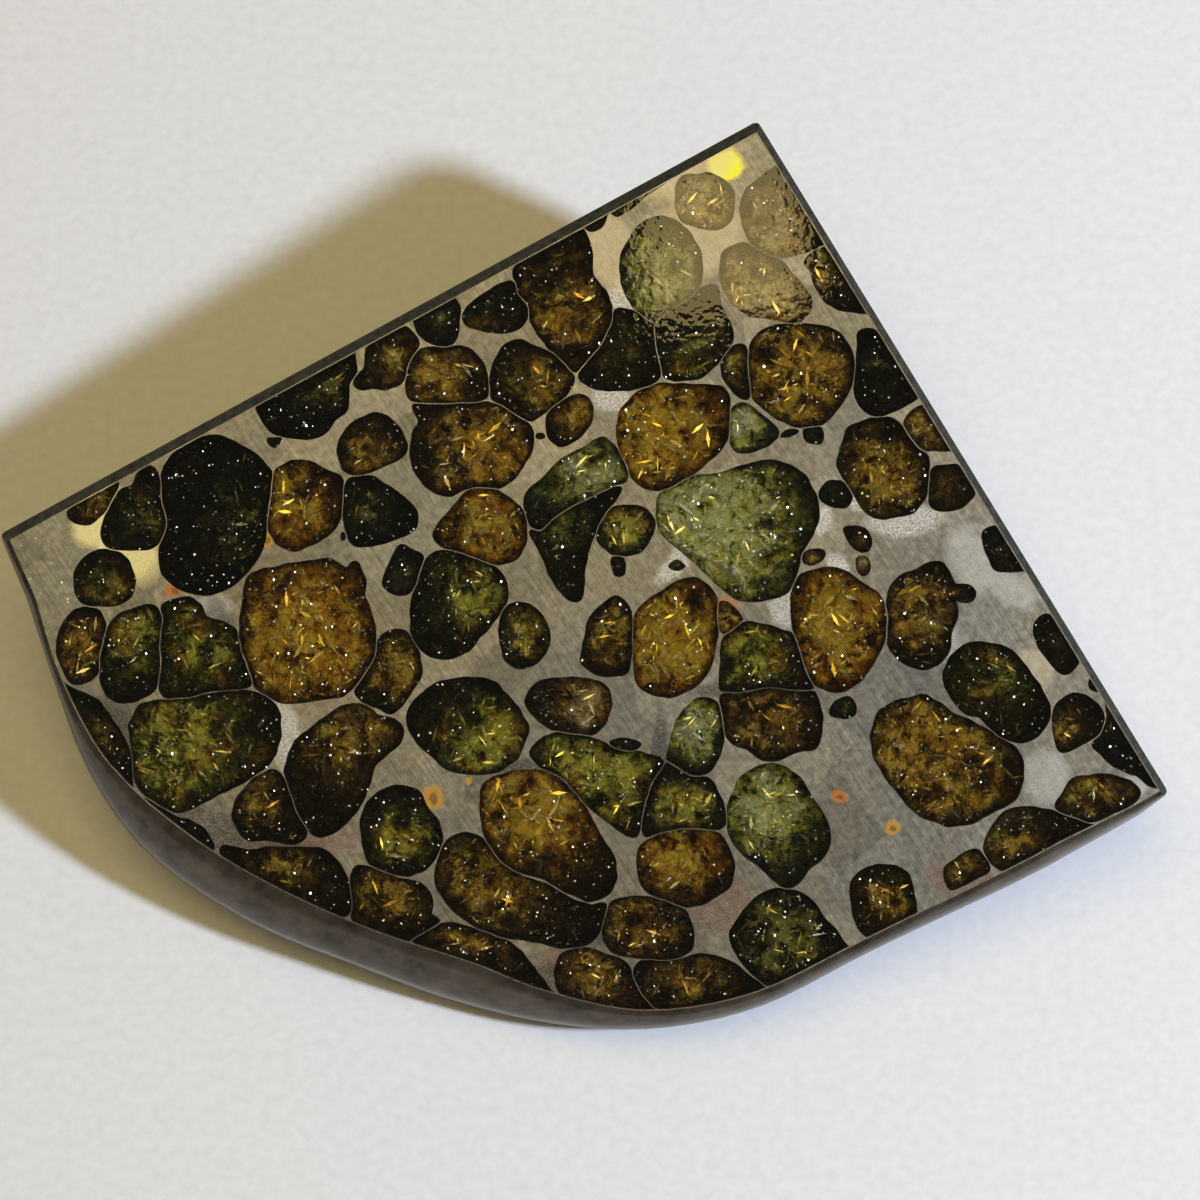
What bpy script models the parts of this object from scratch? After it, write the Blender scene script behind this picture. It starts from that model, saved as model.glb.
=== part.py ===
"""An end cut of a pallasite meteorite, resting on a small flat spot with its polished face tilted up.

The stone is made the way the real one was. A natural lump comes first, then three saw cuts: the polished
face and two sides square to it. Its edges are eased, it is leaned back on its round underside, and the
spot that it stands on is ground flat.

Lengths are in millimetres until the last step. The lump and the cuts are drawn in the face's own frame:
x to the right along the face, y up along it, z out of it, with zero in the middle of the face.
"""

import math

import bmesh
import bpy
from mathutils import Matrix, Vector, noise

MM = 0.001

# The natural outline where the face cuts it: angle in degrees from x, distance from the middle, and how far
# the skin swells out below that edge. Past the two sawn sides it runs a little outside the corners, where
# the lump was sawn away.
OUTLINE = (
    (0.0, 63.5, 1.0),
    (25.0, 59.0, 1.0),
    (50.0, 53.5, 0.8),
    (72.0, 50.8, 0.6),
    (95.0, 53.0, 0.8),
    (120.0, 58.0, 1.0),
    (148.0, 63.5, 0.8),
    (173.5, 60.2, 0.6),
    (179.0, 57.2, 0.9),
    (188.0, 55.1, 0.7),
    (198.0, 52.6, 2.3),
    (208.0, 48.8, 4.7),
    (222.0, 44.0, 5.2),
    (236.0, 40.8, 4.5),
    (250.0, 39.3, 4.7),
    (262.0, 40.3, 3.5),
    (276.0, 42.1, 2.1),
    (290.0, 43.0, 1.6),
    (306.0, 43.6, 1.4),
    (319.0, 46.6, 1.6),
    (332.0, 52.7, 1.9),
    (341.6, 60.0, 1.1),
    (350.0, 64.0, 1.0),
)

LEFT_CORNER = (-59.65, 6.8)
TOP_CORNER = (15.65, 47.7)
RIGHT_CORNER = (56.9, -19.0)

# The lump is widest a little below the face, and the more it swells the deeper that is
GIRTH_DEPTH = 2.2
GIRTH_DEPTH_PER_BULGE = 0.75

# Below the girth the skin turns under in a round rim, and the back swells out from there. It gets deeper
# towards the top corner, by the slope that brings its lowest point under the middle once the face is tilted.
FACE_TILT = 17.0
RIM_DROP = 3.0
RIM_TIGHTNESS = 14.0
BACK_DEPTH = 16.0
BACK_SLOPE = math.tan(math.radians(FACE_TILT))
CROWN = 26.0
CROWN_REACH = 2.5

# Relief of the natural back: broad swells, and shallow hollows like thumbprints. Both fade out towards
# the smooth girth and around the foot.
SWELL_SIZE = 26.0
SWELL_HEIGHT = 1.2
HOLLOW_SIZE = 14.0
HOLLOW_DEPTH = 2.1
HOLLOW_REACH = 0.8
RELIEF_FADE = 7.0
FOOT_RADIUS = 14.0
FOOT_FADE = 12.0

SEGMENTS = 116
RINGS = 64

FLAT_SPOT_DEPTH = 0.5
EDGE_EASE = 0.45
EDGE_STEPS = 2
EDGE_PROFILE = 0.5
SAWN_FACE_CORNERS = 29
SHARP_ANGLE = 35.0
SLIVER = 0.6

SKIN_COLOUR = (0.075, 0.064, 0.053, 1.0)
SKIN_ROUGHNESS = 0.35
SKIN_METALLIC = 0.6


def clear_scene():
    for obj in list(bpy.data.objects):
        bpy.data.objects.remove(obj, do_unlink=True)


def make_collection(name):
    collection = bpy.data.collections.new(name)
    bpy.context.scene.collection.children.link(collection)
    return collection


def make_material(name, colour, roughness, metallic):
    material = bpy.data.materials.new(name)
    material.use_nodes = True
    shader = material.node_tree.nodes["Principled BSDF"]
    shader.inputs["Base Color"].default_value = colour
    shader.inputs["Roughness"].default_value = roughness
    shader.inputs["Metallic"].default_value = metallic
    material.diffuse_color = colour
    return material


def smooth_between(before, start, end, after, column, step):
    """Catmull-Rom between two rows of OUTLINE, in one of its columns, with the rows on either side."""
    rise_in = (end[column] - before[column]) / (end[0] - before[0])
    rise_out = (after[column] - start[column]) / (after[0] - start[0])
    width = end[0] - start[0]
    square, cube = step * step, step**3
    return (
        (2 * cube - 3 * square + 1) * start[column]
        + (cube - 2 * square + step) * width * rise_in
        + (3 * square - 2 * cube) * end[column]
        + (cube - square) * width * rise_out
    )


def outline_at(angle):
    """The natural outline's distance from the middle of the face and its bulge, at an angle in degrees."""
    angle %= 360.0
    count = len(OUTLINE)

    def row(index):
        turns, place = divmod(index, count)
        return (OUTLINE[place][0] + 360.0 * turns, *OUTLINE[place][1:])

    index = max(i for i in range(count) if OUTLINE[i][0] <= angle)
    rows = [row(index + step) for step in (-1, 0, 1, 2)]
    step = (angle - rows[1][0]) / (rows[2][0] - rows[1][0])
    return smooth_between(*rows, 1, step), smooth_between(*rows, 2, step)


def eased(value, start, end):
    """0 up to start, 1 from end on, and a soft rise between them."""
    step = min(1.0, max(0.0, (value - start) / (end - start)))
    return step * step * (3.0 - 2.0 * step)


def relief(point, below_girth):
    """How far the natural skin stands out at a point of the back, less than zero in its hollows."""
    swell = SWELL_HEIGHT * noise.noise(point / SWELL_SIZE)
    nearest = noise.voronoi(point / HOLLOW_SIZE)[0][0]
    hollow = -HOLLOW_DEPTH * (1.0 - eased(nearest, 0.0, HOLLOW_REACH))
    from_girth = eased(below_girth, 0.0, RELIEF_FADE)
    from_foot = eased(math.hypot(point.x, point.y), FOOT_RADIUS, FOOT_RADIUS + FOOT_FADE)
    return from_girth * from_foot * (swell + hollow)


def lump_point(direction):
    """Where a point of the unit sphere goes on the natural lump."""
    turn = math.atan2(direction.y, direction.x)
    edge, bulge = outline_at(math.degrees(turn))
    girth = edge + bulge
    level = math.hypot(direction.x, direction.y)
    girth_depth = GIRTH_DEPTH + GIRTH_DEPTH_PER_BULGE * bulge * level**2

    if direction.z >= 0.0:
        # Above the girth the skin leans in, and passes through the outline where the face will be cut
        lean = bulge / girth_depth**2
        height = CROWN * direction.z
        crown_start = CROWN_REACH * girth_depth
        inner = girth - lean * min(height, crown_start) ** 2
        radius = inner if height < crown_start else inner * level
        return Vector((radius * math.cos(turn), radius * math.sin(turn), height - girth_depth))

    x, y = girth * direction.x, girth * direction.y
    rim = RIM_DROP * math.sqrt(max(0.0, 1.0 - level**RIM_TIGHTNESS))
    back = (BACK_DEPTH + BACK_SLOPE * y) * (1.0 - level**2)
    point = Vector((x, y, -girth_depth - rim - back))
    outward = Vector((direction.x / girth, direction.y / girth, direction.z / BACK_DEPTH)).normalized()
    return point + relief(point, rim + back) * outward


def saw(stone, point, outward):
    """Saws off what lies beyond a plane, closes the cut with one flat face and clears its slivers."""
    whole = stone.verts[:] + stone.edges[:] + stone.faces[:]
    cut = bmesh.ops.bisect_plane(
        stone, geom=whole, plane_co=Vector(point), plane_no=Vector(outward), clear_outer=True
    )
    rim = [item for item in cut["geom_cut"] if isinstance(item, bmesh.types.BMVert)]
    beside = []
    for vert in rim:
        for edge in vert.link_edges:
            other = edge.other_vert(vert)
            if edge.calc_length() < SLIVER and other not in rim + beside:
                other.co = vert.co
                beside.append(other)
    bmesh.ops.remove_doubles(stone, verts=rim + beside, dist=SLIVER)
    rim_edges = [edge for edge in stone.edges if edge.is_boundary]
    bmesh.ops.contextual_create(stone, geom=rim_edges)
    bmesh.ops.recalc_face_normals(stone, faces=stone.faces[:])


def saw_side(stone, start, end):
    """Saws a side square to the face through two corners given in order round the stone, clockwise."""
    along = Vector((end[0] - start[0], end[1] - start[1], 0.0)).normalized()
    saw(stone, (start[0], start[1], 0.0), along.cross(Vector((0.0, 0.0, 1.0))) * -1.0)


def flatten_face(stone):
    """Brings corners that clearing slivers moved back into the plane of the polished face."""
    polished = max(stone.faces, key=lambda face: face.normal.z * face.calc_area())
    for vert in polished.verts:
        vert.co.z = 0.0


def ease_edges(stone):
    """Rounds the edges of the sawn faces a little, as polishing leaves them."""
    sharp = [edge for edge in stone.edges
             if any(len(face.verts) > SAWN_FACE_CORNERS for face in edge.link_faces)]
    bmesh.ops.bevel(
        stone,
        geom=sharp,
        offset=EDGE_EASE,
        offset_type="OFFSET",
        segments=EDGE_STEPS,
        profile=EDGE_PROFILE,
        affect="EDGES",
        clamp_overlap=True,
    )


def stand_on_flat_spot(stone):
    """Leans the stone back, grinds its lowest point flat and puts the middle of its base at zero."""
    bmesh.ops.rotate(
        stone,
        verts=stone.verts[:],
        cent=(0.0, 0.0, 0.0),
        matrix=Matrix.Rotation(math.radians(FACE_TILT), 3, "X"),
    )
    ground = min(vert.co.z for vert in stone.verts) + FLAT_SPOT_DEPTH
    saw(stone, (0.0, 0.0, ground), (0.0, 0.0, -1.0))
    spans = [[vert.co[axis] for vert in stone.verts] for axis in range(2)]
    middle = [(min(span) + max(span)) / 2.0 for span in spans]
    bmesh.ops.translate(stone, verts=stone.verts[:], vec=(-middle[0], -middle[1], -ground))


def make_end_cut(collection):
    stone = bmesh.new()
    bmesh.ops.create_uvsphere(stone, u_segments=SEGMENTS, v_segments=RINGS, radius=1.0)
    for vert in stone.verts:
        vert.co = lump_point(vert.co.normalized())
    saw(stone, (0.0, 0.0, 0.0), (0.0, 0.0, 1.0))
    saw_side(stone, LEFT_CORNER, TOP_CORNER)
    saw_side(stone, TOP_CORNER, RIGHT_CORNER)
    flatten_face(stone)
    ease_edges(stone)
    stand_on_flat_spot(stone)
    bmesh.ops.scale(stone, verts=stone.verts[:], vec=(MM, MM, MM))
    bmesh.ops.recalc_face_normals(stone, faces=stone.faces[:])

    mesh = bpy.data.meshes.new("pallasite_end_cut")
    stone.to_mesh(mesh)
    stone.free()
    mesh.shade_smooth()
    mesh.set_sharp_from_angle(angle=math.radians(SHARP_ANGLE))
    mesh.materials.append(make_material("natural_skin", SKIN_COLOUR, SKIN_ROUGHNESS, SKIN_METALLIC))
    end_cut = bpy.data.objects.new("pallasite_end_cut", mesh)
    collection.objects.link(end_cut)
    return end_cut


def main():
    clear_scene()
    make_end_cut(make_collection("pallasite_meteorite_end_cut"))


main()
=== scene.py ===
# %% [markdown]
# # An end cut of a pallasite meteorite
#
# A pallasite is nickel-iron with see-through olivine crystals grown into it. This one was sawn, and the cut was
# ground and polished, so the crystals show like windows in the metal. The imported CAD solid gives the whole
# shape. This script dresses it: the metal with a pocket for each crystal, the crystals, the flaws inside them,
# and the dark natural skin on the back.

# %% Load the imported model
import math

import bmesh
import bpy
import numpy as np
from mathutils import Matrix, Vector, geometry, noise


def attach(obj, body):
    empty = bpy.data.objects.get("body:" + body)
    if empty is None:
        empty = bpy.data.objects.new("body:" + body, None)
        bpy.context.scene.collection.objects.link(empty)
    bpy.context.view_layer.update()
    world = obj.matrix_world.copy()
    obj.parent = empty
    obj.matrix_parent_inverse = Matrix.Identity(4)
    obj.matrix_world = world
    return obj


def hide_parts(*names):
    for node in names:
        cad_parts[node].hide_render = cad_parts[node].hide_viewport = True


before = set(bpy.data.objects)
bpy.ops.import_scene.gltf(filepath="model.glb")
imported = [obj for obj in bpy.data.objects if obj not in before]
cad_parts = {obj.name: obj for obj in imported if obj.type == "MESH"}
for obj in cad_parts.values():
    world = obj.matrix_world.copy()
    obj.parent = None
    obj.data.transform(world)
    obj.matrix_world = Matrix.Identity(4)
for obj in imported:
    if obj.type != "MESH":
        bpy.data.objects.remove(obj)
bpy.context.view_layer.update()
stone_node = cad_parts["pallasite_end_cut"]

# %% [markdown]
# ## The face's own frame
#
# Everything on the polished face is easiest to draw in the plane of that face: u to the right, v up along it and
# w out of it, in millimetres. The face leans 17 degrees towards the viewer, and two sides are sawn square to it.
# The three flat planes are found again on the CAD mesh as the largest face that looks each of three known
# ways, and where they meet gives the frame its place.

# %% Find the face's frame on the CAD mesh
MM = 0.001
FACE_TILT = math.radians(17.0)
LEAN = Matrix.Rotation(FACE_TILT, 3, "X")
LEFT_CORNER = Vector((-59.65, 6.8, 0.0))
TOP_CORNER = Vector((15.65, 47.7, 0.0))
RIGHT_CORNER = Vector((56.9, -19.0, 0.0))
FACE_NORMAL = Vector((0.0, 0.0, 1.0))


def side_normal(start, end):
    """The outward direction of the side sawn through two corners, in the face's frame."""
    return -(end - start).normalized().cross(FACE_NORMAL)


UPPER_LEFT = side_normal(LEFT_CORNER, TOP_CORNER)
UPPER_RIGHT = side_normal(TOP_CORNER, RIGHT_CORNER)
MERGE_DISTANCE = 1e-6
FLAT_TOLERANCE = 1e-5
FLAT_COSINE = 0.9999
SAWN_PLANES = ((FACE_NORMAL, TOP_CORNER), (UPPER_LEFT, TOP_CORNER), (UPPER_RIGHT, TOP_CORNER))


def merged_copy(node):
    """A bmesh copy of a CAD node with its loose triangles joined into one closed skin."""
    mesh = bmesh.new()
    mesh.from_mesh(node.data)
    bmesh.ops.remove_doubles(mesh, verts=mesh.verts, dist=MERGE_DISTANCE)
    return mesh


def flat_reach(mesh, direction):
    """How far out the flat side that looks one way lies, from the largest face that looks that way."""
    facing = [face for face in mesh.faces if face.normal.dot(direction) > FLAT_COSINE]
    return max(facing, key=lambda face: face.calc_area()).calc_center_median().dot(direction)


def find_face_origin(mesh):
    rows = [LEAN @ normal for normal, corner in SAWN_PLANES]
    reach = [flat_reach(mesh, row) - MM * normal.dot(corner) for row, (normal, corner) in
             zip(rows, SAWN_PLANES)]
    return Vector(np.linalg.solve(np.array(rows), np.array(reach)))


stone_copy = merged_copy(stone_node)
FACE_ORIGIN = find_face_origin(stone_copy)


def to_world(u, v, w=0.0):
    """A point of the face's frame, in millimetres, as a point of the world."""
    return FACE_ORIGIN + LEAN @ (Vector((u, v, w)) * MM)


def to_face(point):
    """A point of the world in the face's frame, in millimetres."""
    return LEAN.transposed() @ (point - FACE_ORIGIN) / MM


print("middle of the face in mm:", [round(x / MM, 2) for x in FACE_ORIGIN])

# %% [markdown]
# ## The camera
#
# The photograph looks down on the stone from the front, 76 degrees above the table. At the face a picture
# 120 mm wide fits the stone with little to spare. The camera comes first because the plan of the grains below
# was drawn on a sheet that lies square to it.

# %% Place the camera
CAMERA_ELEVATION = math.radians(76.0)
CAMERA_DISTANCE = 330.0
VIEW_WIDTH = 120.0
SENSOR = 36.0
TOWARDS_CAMERA = Vector((0.0, -math.cos(CAMERA_ELEVATION), math.sin(CAMERA_ELEVATION)))
CAMERA_UP = TOWARDS_CAMERA.cross(Vector((1.0, 0.0, 0.0)))
CAMERA_PLACE = FACE_ORIGIN + TOWARDS_CAMERA * CAMERA_DISTANCE * MM


def place_camera():
    camera_data = bpy.data.cameras.new("camera")
    camera_data.sensor_width = SENSOR
    camera_data.lens = SENSOR * CAMERA_DISTANCE / VIEW_WIDTH
    camera_data.clip_start = 0.01
    camera = bpy.data.objects.new("camera", camera_data)
    camera.location = CAMERA_PLACE
    camera.rotation_euler = TOWARDS_CAMERA.to_track_quat("Z", "Y").to_euler()
    bpy.context.scene.collection.objects.link(camera)
    bpy.context.scene.camera = camera


def from_sheet(x, y):
    """Where a point of the drawing sheet falls on the face: tenths of a millimetre in, millimetres out."""
    across = (x / 10.0 - VIEW_WIDTH / 2.0) * MM
    up = (VIEW_WIDTH / 2.0 - y / 10.0) * MM
    ray = Vector((across, 0.0, 0.0)) + CAMERA_UP * up - TOWARDS_CAMERA * CAMERA_DISTANCE * MM
    normal = LEAN @ FACE_NORMAL
    hit = CAMERA_PLACE + ray * ((FACE_ORIGIN - CAMERA_PLACE).dot(normal) / ray.dot(normal))
    return to_face(hit).to_2d()


place_camera()
print("camera looks at the face from", round(CAMERA_DISTANCE), "mm")

# %% [markdown]
# ## The plan of the grains
#
# Each olivine grain is drawn as a closed outline of a few points. The sheet is 120 mm square, and the
# numbers are tenths of a millimetre from its upper left corner. A row gives the kind of olivine, where the
# grain is lit from inside (place, radius and strength), and the outline. A smooth curve goes through the points.

# %% Grain outlines
# Painted light: each row's glow paints its grain's colour bright round that heart, and darker towards the rim.
GRAINS = (
    ("brown", (45, 545, 30, 0.45), "0,533 32,517 62,502 66,522 76,539 88,551 78,557 71,573 69,592 69,611 58,629 "
     "50,655 28,640 10,590"),
    ("brown", (92, 495, 22, 0.75), "66,505 75,492 95,482 112,476 118,484 112,500 103,513 90,524 76,522 67,516"),
    ("green", (150, 515, 22, 0.25), "148,466 155,471 160,485 161,499 167,524 161,540 150,547 126,548 109,547 "
     "102,534 112,503 122,490 134,486 139,472"),
    ("black", (235, 520, 35, 0.30), "219,437 196,440 178,451 165,468 161,495 167,522 161,548 163,572 180,588 "
     "204,594 228,587 245,571 261,550 266,522 271,498 271,474 258,458 240,447"),
    ("amber", (288, 500, 28, 1.5), "277,470 297,461 312,464 328,473 342,479 342,500 338,519 328,533 312,543 "
     "296,549 281,545 270,530 268,510 272,488"),
    ("black", (325, 385, 22, 0.50), "254,398 262,384 290,366 320,350 348,338 352,350 355,372 347,384 346,410 "
     "333,420 322,434 305,438 290,436 276,433 264,421"),
    ("black", (275, 442, 6, 0.10), "266,437 274,438 283,435 280,444 274,449 268,444"),
    ("brown", (400, 365, 25, 0.45), "368,340 385,326 400,324 412,333 418,345 409,360 406,377 398,384 385,388 "
     "372,387 362,389 354,384 357,375 366,368"),
    ("black", (440, 310, 18, 0.20), "396,312 420,296 445,283 453,297 459,308 458,322 456,336 449,346 437,345 "
     "424,338 417,330 413,316"),
    ("brown", (435, 380, 32, 0.80), "449,349 462,347 473,353 483,366 488,382 487,396 475,401 455,403 430,404 "
     "410,399 407,385 408,368 418,352 433,348"),
    ("brown", (490, 445, 42, 1.10), "413,404 440,404 470,404 495,405 512,413 526,422 532,434 530,452 520,468 "
     "508,483 495,487 478,486 463,488 450,495 438,493 425,484 415,470 412,450 414,434 421,421"),
    ("brown", (545, 385, 26, 0.65), "497,358 506,345 521,341 535,348 552,354 566,366 573,380 565,394 550,407 "
     "532,420 518,416 504,404 494,400 490,384 493,370"),
    ("amber", (577, 412, 15, 0.55), "548,414 562,402 580,394 590,400 593,412 588,428 575,440 562,446 552,442 "
     "547,432"),
    ("green", (540, 437, 5, 0.20), "534,434 543,433 547,437 541,440 535,439"),
    ("green", (480, 320, 20, 0.15), "513,281 517,295 529,305 527,320 512,331 495,332 480,329 468,326 463,317 "
     "469,307 482,296 497,287"),
    ("brown", (570, 310, 45, 0.50), "516,256 545,240 578,220 585,236 591,255 591,275 606,295 612,318 600,345 "
     "585,362 575,372 562,360 550,348 540,334 530,318 528,303 518,292"),
    ("green", (620, 345, 30, 0.10), "616,309 640,314 652,324 655,345 661,370 652,383 630,388 604,389 589,384 "
     "579,377 588,362 602,346 613,322"),
    ("green", (590, 215, 18, 0.15), "576,215 592,202 606,197 606,214 602,228 590,232 581,226"),
    ("brown", (640, 190, 30, 0.60), "612,200 638,184 662,169 671,173 667,181 650,193 630,208 616,217 610,210"),
    ("tan", (705, 200, 34, 1.2), "680,180 688,176 700,176 712,174 724,181 733,192 733,205 731,218 724,226 "
     "710,229 695,226 681,219 677,205 677,190"),
    ("lime", (668, 278, 34, 0.80), "645,223 662,218 678,224 690,236 699,252 701,272 698,287 687,299 674,306 "
     "662,315 652,323 642,317 631,301 623,282 621,262 627,246 635,233"),
    ("green", (700, 355, 26, 0.40), "655,326 676,308 692,298 701,288 716,287 719,306 728,321 732,335 727,350 "
     "713,366 699,377 675,379 663,374 658,352"),
    ("tan", (775, 225, 40, 0.55), "776,168 792,164 838,238 822,243 808,249 790,255 772,254 755,246 745,228 "
     "741,208 746,193 760,180"),
    ("tan", (765, 290, 38, 0.95), "725,252 744,244 764,255 781,263 796,280 810,299 808,312 797,322 782,320 "
     "765,315 750,314 732,301 723,284 722,268"),
    ("brown", (825, 270, 22, 0.50), "804,262 817,251 844,248 884,310 858,311 840,309 826,301 816,285 811,271"),
    ("black", (880, 370, 16, 0.25), "859,332 872,330 890,338 908,362 926,388 915,398 903,405 890,412 876,415 "
     "863,408 856,394 857,370 859,350"),
    ("brown", (925, 430, 22, 0.70), "903,424 912,411 921,406 936,404 958,438 952,449 933,450 923,451 913,443 "
     "906,431"),
    ("brown", (885, 480, 36, 0.75), "850,428 868,421 888,419 902,427 914,443 927,458 928,474 926,490 921,502 "
     "910,513 893,516 879,518 867,511 853,492 846,480 838,465 843,445"),
    ("brown", (950, 485, 20, 0.15), "930,470 943,466 959,465 966,474 975,483 974,494 965,504 952,510 934,509 "
     "929,498 930,484"),
    ("black", (835, 495, 8, 0.30), "818,495 824,484 833,480 845,482 852,491 851,503 845,508 832,506 821,501"),
    ("green", (622, 528, 18, 1.2), "598,528 604,517 612,508 627,507 642,508 651,516 655,524 650,538 642,551 "
     "625,555 610,553 600,543"),
    ("black", (617, 565, 4, 0.30), "611,557 624,557 625,575 614,576"),
    ("black", (812, 435, 6, 0.20), "804,427 818,424 824,432 822,444 806,442"),
    ("black", (788, 433, 5, 0.20), "778,437 785,430 797,428 800,432 790,437"),
    ("brown", (860, 540, 8, 0.30), "843,528 852,526 865,528 871,539 870,550 862,553 852,547 848,538"),
    ("tan", (864, 560, 7, 0.90), "857,557 868,557 871,570 864,577 856,570"),
    ("black", (1008, 548, 12, 0.30), "982,532 996,526 1006,530 1014,538 1036,562 1030,569 1010,571 995,569 "
     "987,552"),
    ("brown", (610, 630, 26, 0.70), "617,596 630,612 631,640 630,662 626,673 612,675 594,673 582,661 586,639 "
     "591,617"),
    ("amber", (675, 640, 44, 1.25), "636,617 648,602 668,589 690,579 704,583 715,599 718,620 714,648 710,664 "
     "701,680 684,691 669,696 650,692 638,681 635,655"),
    ("green", (752, 650, 34, 0.55), "724,640 740,625 756,624 776,630 794,636 800,652 806,668 812,690 800,690 "
     "775,686 750,690 735,692 721,690 722,665"),
    ("brown", (765, 715, 36, 0.55), "722,694 740,694 765,689 790,692 813,692 820,712 820,737 813,748 795,751 "
     "775,760 760,757 748,748 732,742 724,727"),
    ("amber", (848, 625, 42, 1.45), "796,580 811,572 830,569 846,573 862,585 876,594 884,609 887,627 881,646 "
     "871,665 857,682 838,691 821,686 810,679 802,658 795,632 792,606"),
    ("brown", (920, 610, 34, 0.65), "889,592 900,577 916,571 927,564 940,563 949,572 954,586 966,586 975,590 "
     "973,600 962,601 954,598 957,615 950,632 949,648 941,661 928,669 912,666 898,658 889,645 888,618"),
    ("green", (1000, 675, 30, 0.30), "944,679 951,659 962,648 979,643 995,646 1011,652 1026,669 1040,689 "
     "1048,705 1047,722 1035,736 1021,741 1004,737 990,726 980,716 966,713 953,698"),
    ("brown", (940, 755, 62, 0.80), "873,730 880,713 892,704 909,700 925,696 939,704 951,714 970,722 987,731 "
     "1000,740 1013,747 1021,760 1021,779 1018,794 1008,803 991,811 973,821 953,825 935,820 917,813 902,796 "
     "889,779 879,764 873,748"),
    ("brown", (1062, 730, 16, 0.55), "1054,710 1062,700 1074,693 1088,698 1100,708 1103,722 1096,734 1086,741 "
     "1074,748 1061,752 1055,738"),
    ("black", (1112, 715, 12, 0.70), "1108,700 1122,698 1148,742 1172,784 1152,786 1138,774 1125,771 1112,764 "
     "1100,752 1092,745 1100,738 1108,724"),
    ("brown", (1095, 790, 30, 0.45), "1055,808 1063,794 1074,779 1092,776 1110,776 1127,781 1140,792 1132,804 "
     "1113,812 1097,820 1080,819 1066,814"),
    ("black", (1058, 640, 16, 0.20), "1036,622 1046,614 1056,618 1067,632 1077,646 1082,657 1076,666 1066,674 "
     "1057,671 1048,658 1039,646 1034,633"),
    ("black", (1095, 684, 6, 0.50), "1088,680 1096,675 1103,684 1098,693 1090,690"),
    ("lime", (770, 805, 34, 1.35), "731,800 742,778 754,770 771,765 788,770 800,780 809,795 820,811 828,829 "
     "828,846 819,860 807,869 797,882 788,888 776,880 760,865 745,855 734,842 728,822"),
    ("green", (690, 812, 26, 0.75), "668,762 690,778 706,778 716,790 723,808 727,823 714,829 690,827 665,830 "
     "646,836 642,822 648,800 654,780"),
    ("amber", (680, 850, 34, 0.95), "640,848 651,840 668,833 692,830 715,832 726,846 732,862 731,882 720,892 "
     "704,901 688,906 668,899 652,894 642,882 638,864"),
    ("lime", (693, 728, 20, 1.4), "668,755 674,738 676,724 685,711 696,700 708,699 719,706 723,722 722,742 "
     "718,757 710,770 697,775 682,770 670,764"),
    ("green", (600, 770, 50, 1.0), "531,752 545,738 562,734 590,738 612,748 640,754 664,762 652,782 645,800 "
     "640,822 636,836 626,834 608,820 590,806 573,792 556,776 540,765"),
    ("black", (845, 708, 8, 0.35), "829,711 834,701 849,697 857,704 856,715 845,718 832,717"),
    ("black", (625, 745, 8, 0.25), "608,742 619,738 634,739 643,744 632,753 621,753"),
    ("brown", (890, 900, 26, 0.45), "852,886 861,872 878,866 897,869 909,876 913,896 916,922 900,934 880,944 "
     "864,933 855,917"),
    ("black", (790, 940, 44, 0.8), "731,934 741,918 752,903 766,893 784,889 800,894 813,904 824,920 837,934 "
     "850,955 825,972 800,984 778,992 756,975 738,955"),
    ("brown", (1010, 845, 26, 0.45), "988,838 1000,818 1012,810 1030,808 1050,812 1070,818 1085,824 1100,828 "
     "1082,842 1060,852 1035,863 1012,873 992,862 985,850"),
    ("brown", (965, 868, 20, 0.35), "944,870 960,856 976,849 988,862 990,872 968,882 950,890"),
    ("amber", (535, 805, 42, 1.2), "484,785 500,777 522,772 550,773 567,780 577,795 588,815 600,838 612,856 "
     "615,877 608,893 590,900 565,890 545,878 520,871 501,860 488,840 482,815"),
    ("brown", (490, 880, 48, 0.55), "445,845 465,834 480,838 490,850 502,866 520,877 545,885 565,897 590,907 "
     "606,904 600,930 585,944 560,946 535,940 505,936 475,925 450,905 436,880"),
    ("brown", (470, 950, 30, 0.40), "415,938 440,925 462,926 485,934 505,942 520,952 532,968 545,985 556,1002 "
     "530,996 500,984 470,972 440,960 418,950"),
    ("brown", (640, 925, 34, 0.60), "612,902 640,898 665,903 684,912 692,930 690,950 670,958 640,957 612,950 "
     "603,930"),
    ("brown", (690, 985, 34, 0.45), "641,962 670,963 700,956 728,962 750,978 768,992 742,1004 716,1013 685,1018 "
     "660,1012 642,995 633,976"),
    ("brown", (595, 980, 30, 0.55), "562,955 585,949 604,955 626,964 635,982 644,998 656,1014 640,1018 608,1014 "
     "576,1009 562,995 556,975"),
    ("green", (405, 840, 26, 0.60), "362,821 367,805 378,794 394,787 408,788 420,795 427,810 437,822 441,840 "
     "434,858 424,869 405,875 384,871 369,862 364,842"),
    ("brown", (350, 725, 46, 0.50), "290,757 296,742 310,731 321,721 338,710 355,705 368,708 377,718 393,720 "
     "403,729 399,742 385,754 375,762 370,778 362,798 353,814 338,828 322,836 308,828 298,812 292,790 286,772"),
    ("brown", (255, 795, 22, 0.60), "233,816 238,799 248,786 261,776 274,771 283,779 289,796 297,815 306,830 "
     "300,842 284,842 266,838 250,840 240,831"),
    ("green", (170, 750, 60, 0.55), "133,748 131,725 140,706 160,702 188,700 215,694 245,692 270,700 278,715 "
     "279,735 274,752 266,766 250,776 234,786 214,795 196,805 178,811 160,803 142,790 134,771"),
    ("green", (135, 640, 26, 0.75), "108,630 118,617 137,609 154,606 160,618 157,640 158,665 154,690 138,698 "
     "118,702 106,692 101,672 101,648"),
    ("green", (200, 645, 34, 0.55), "163,606 184,598 198,604 206,618 222,623 234,630 242,648 250,667 252,684 "
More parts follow.
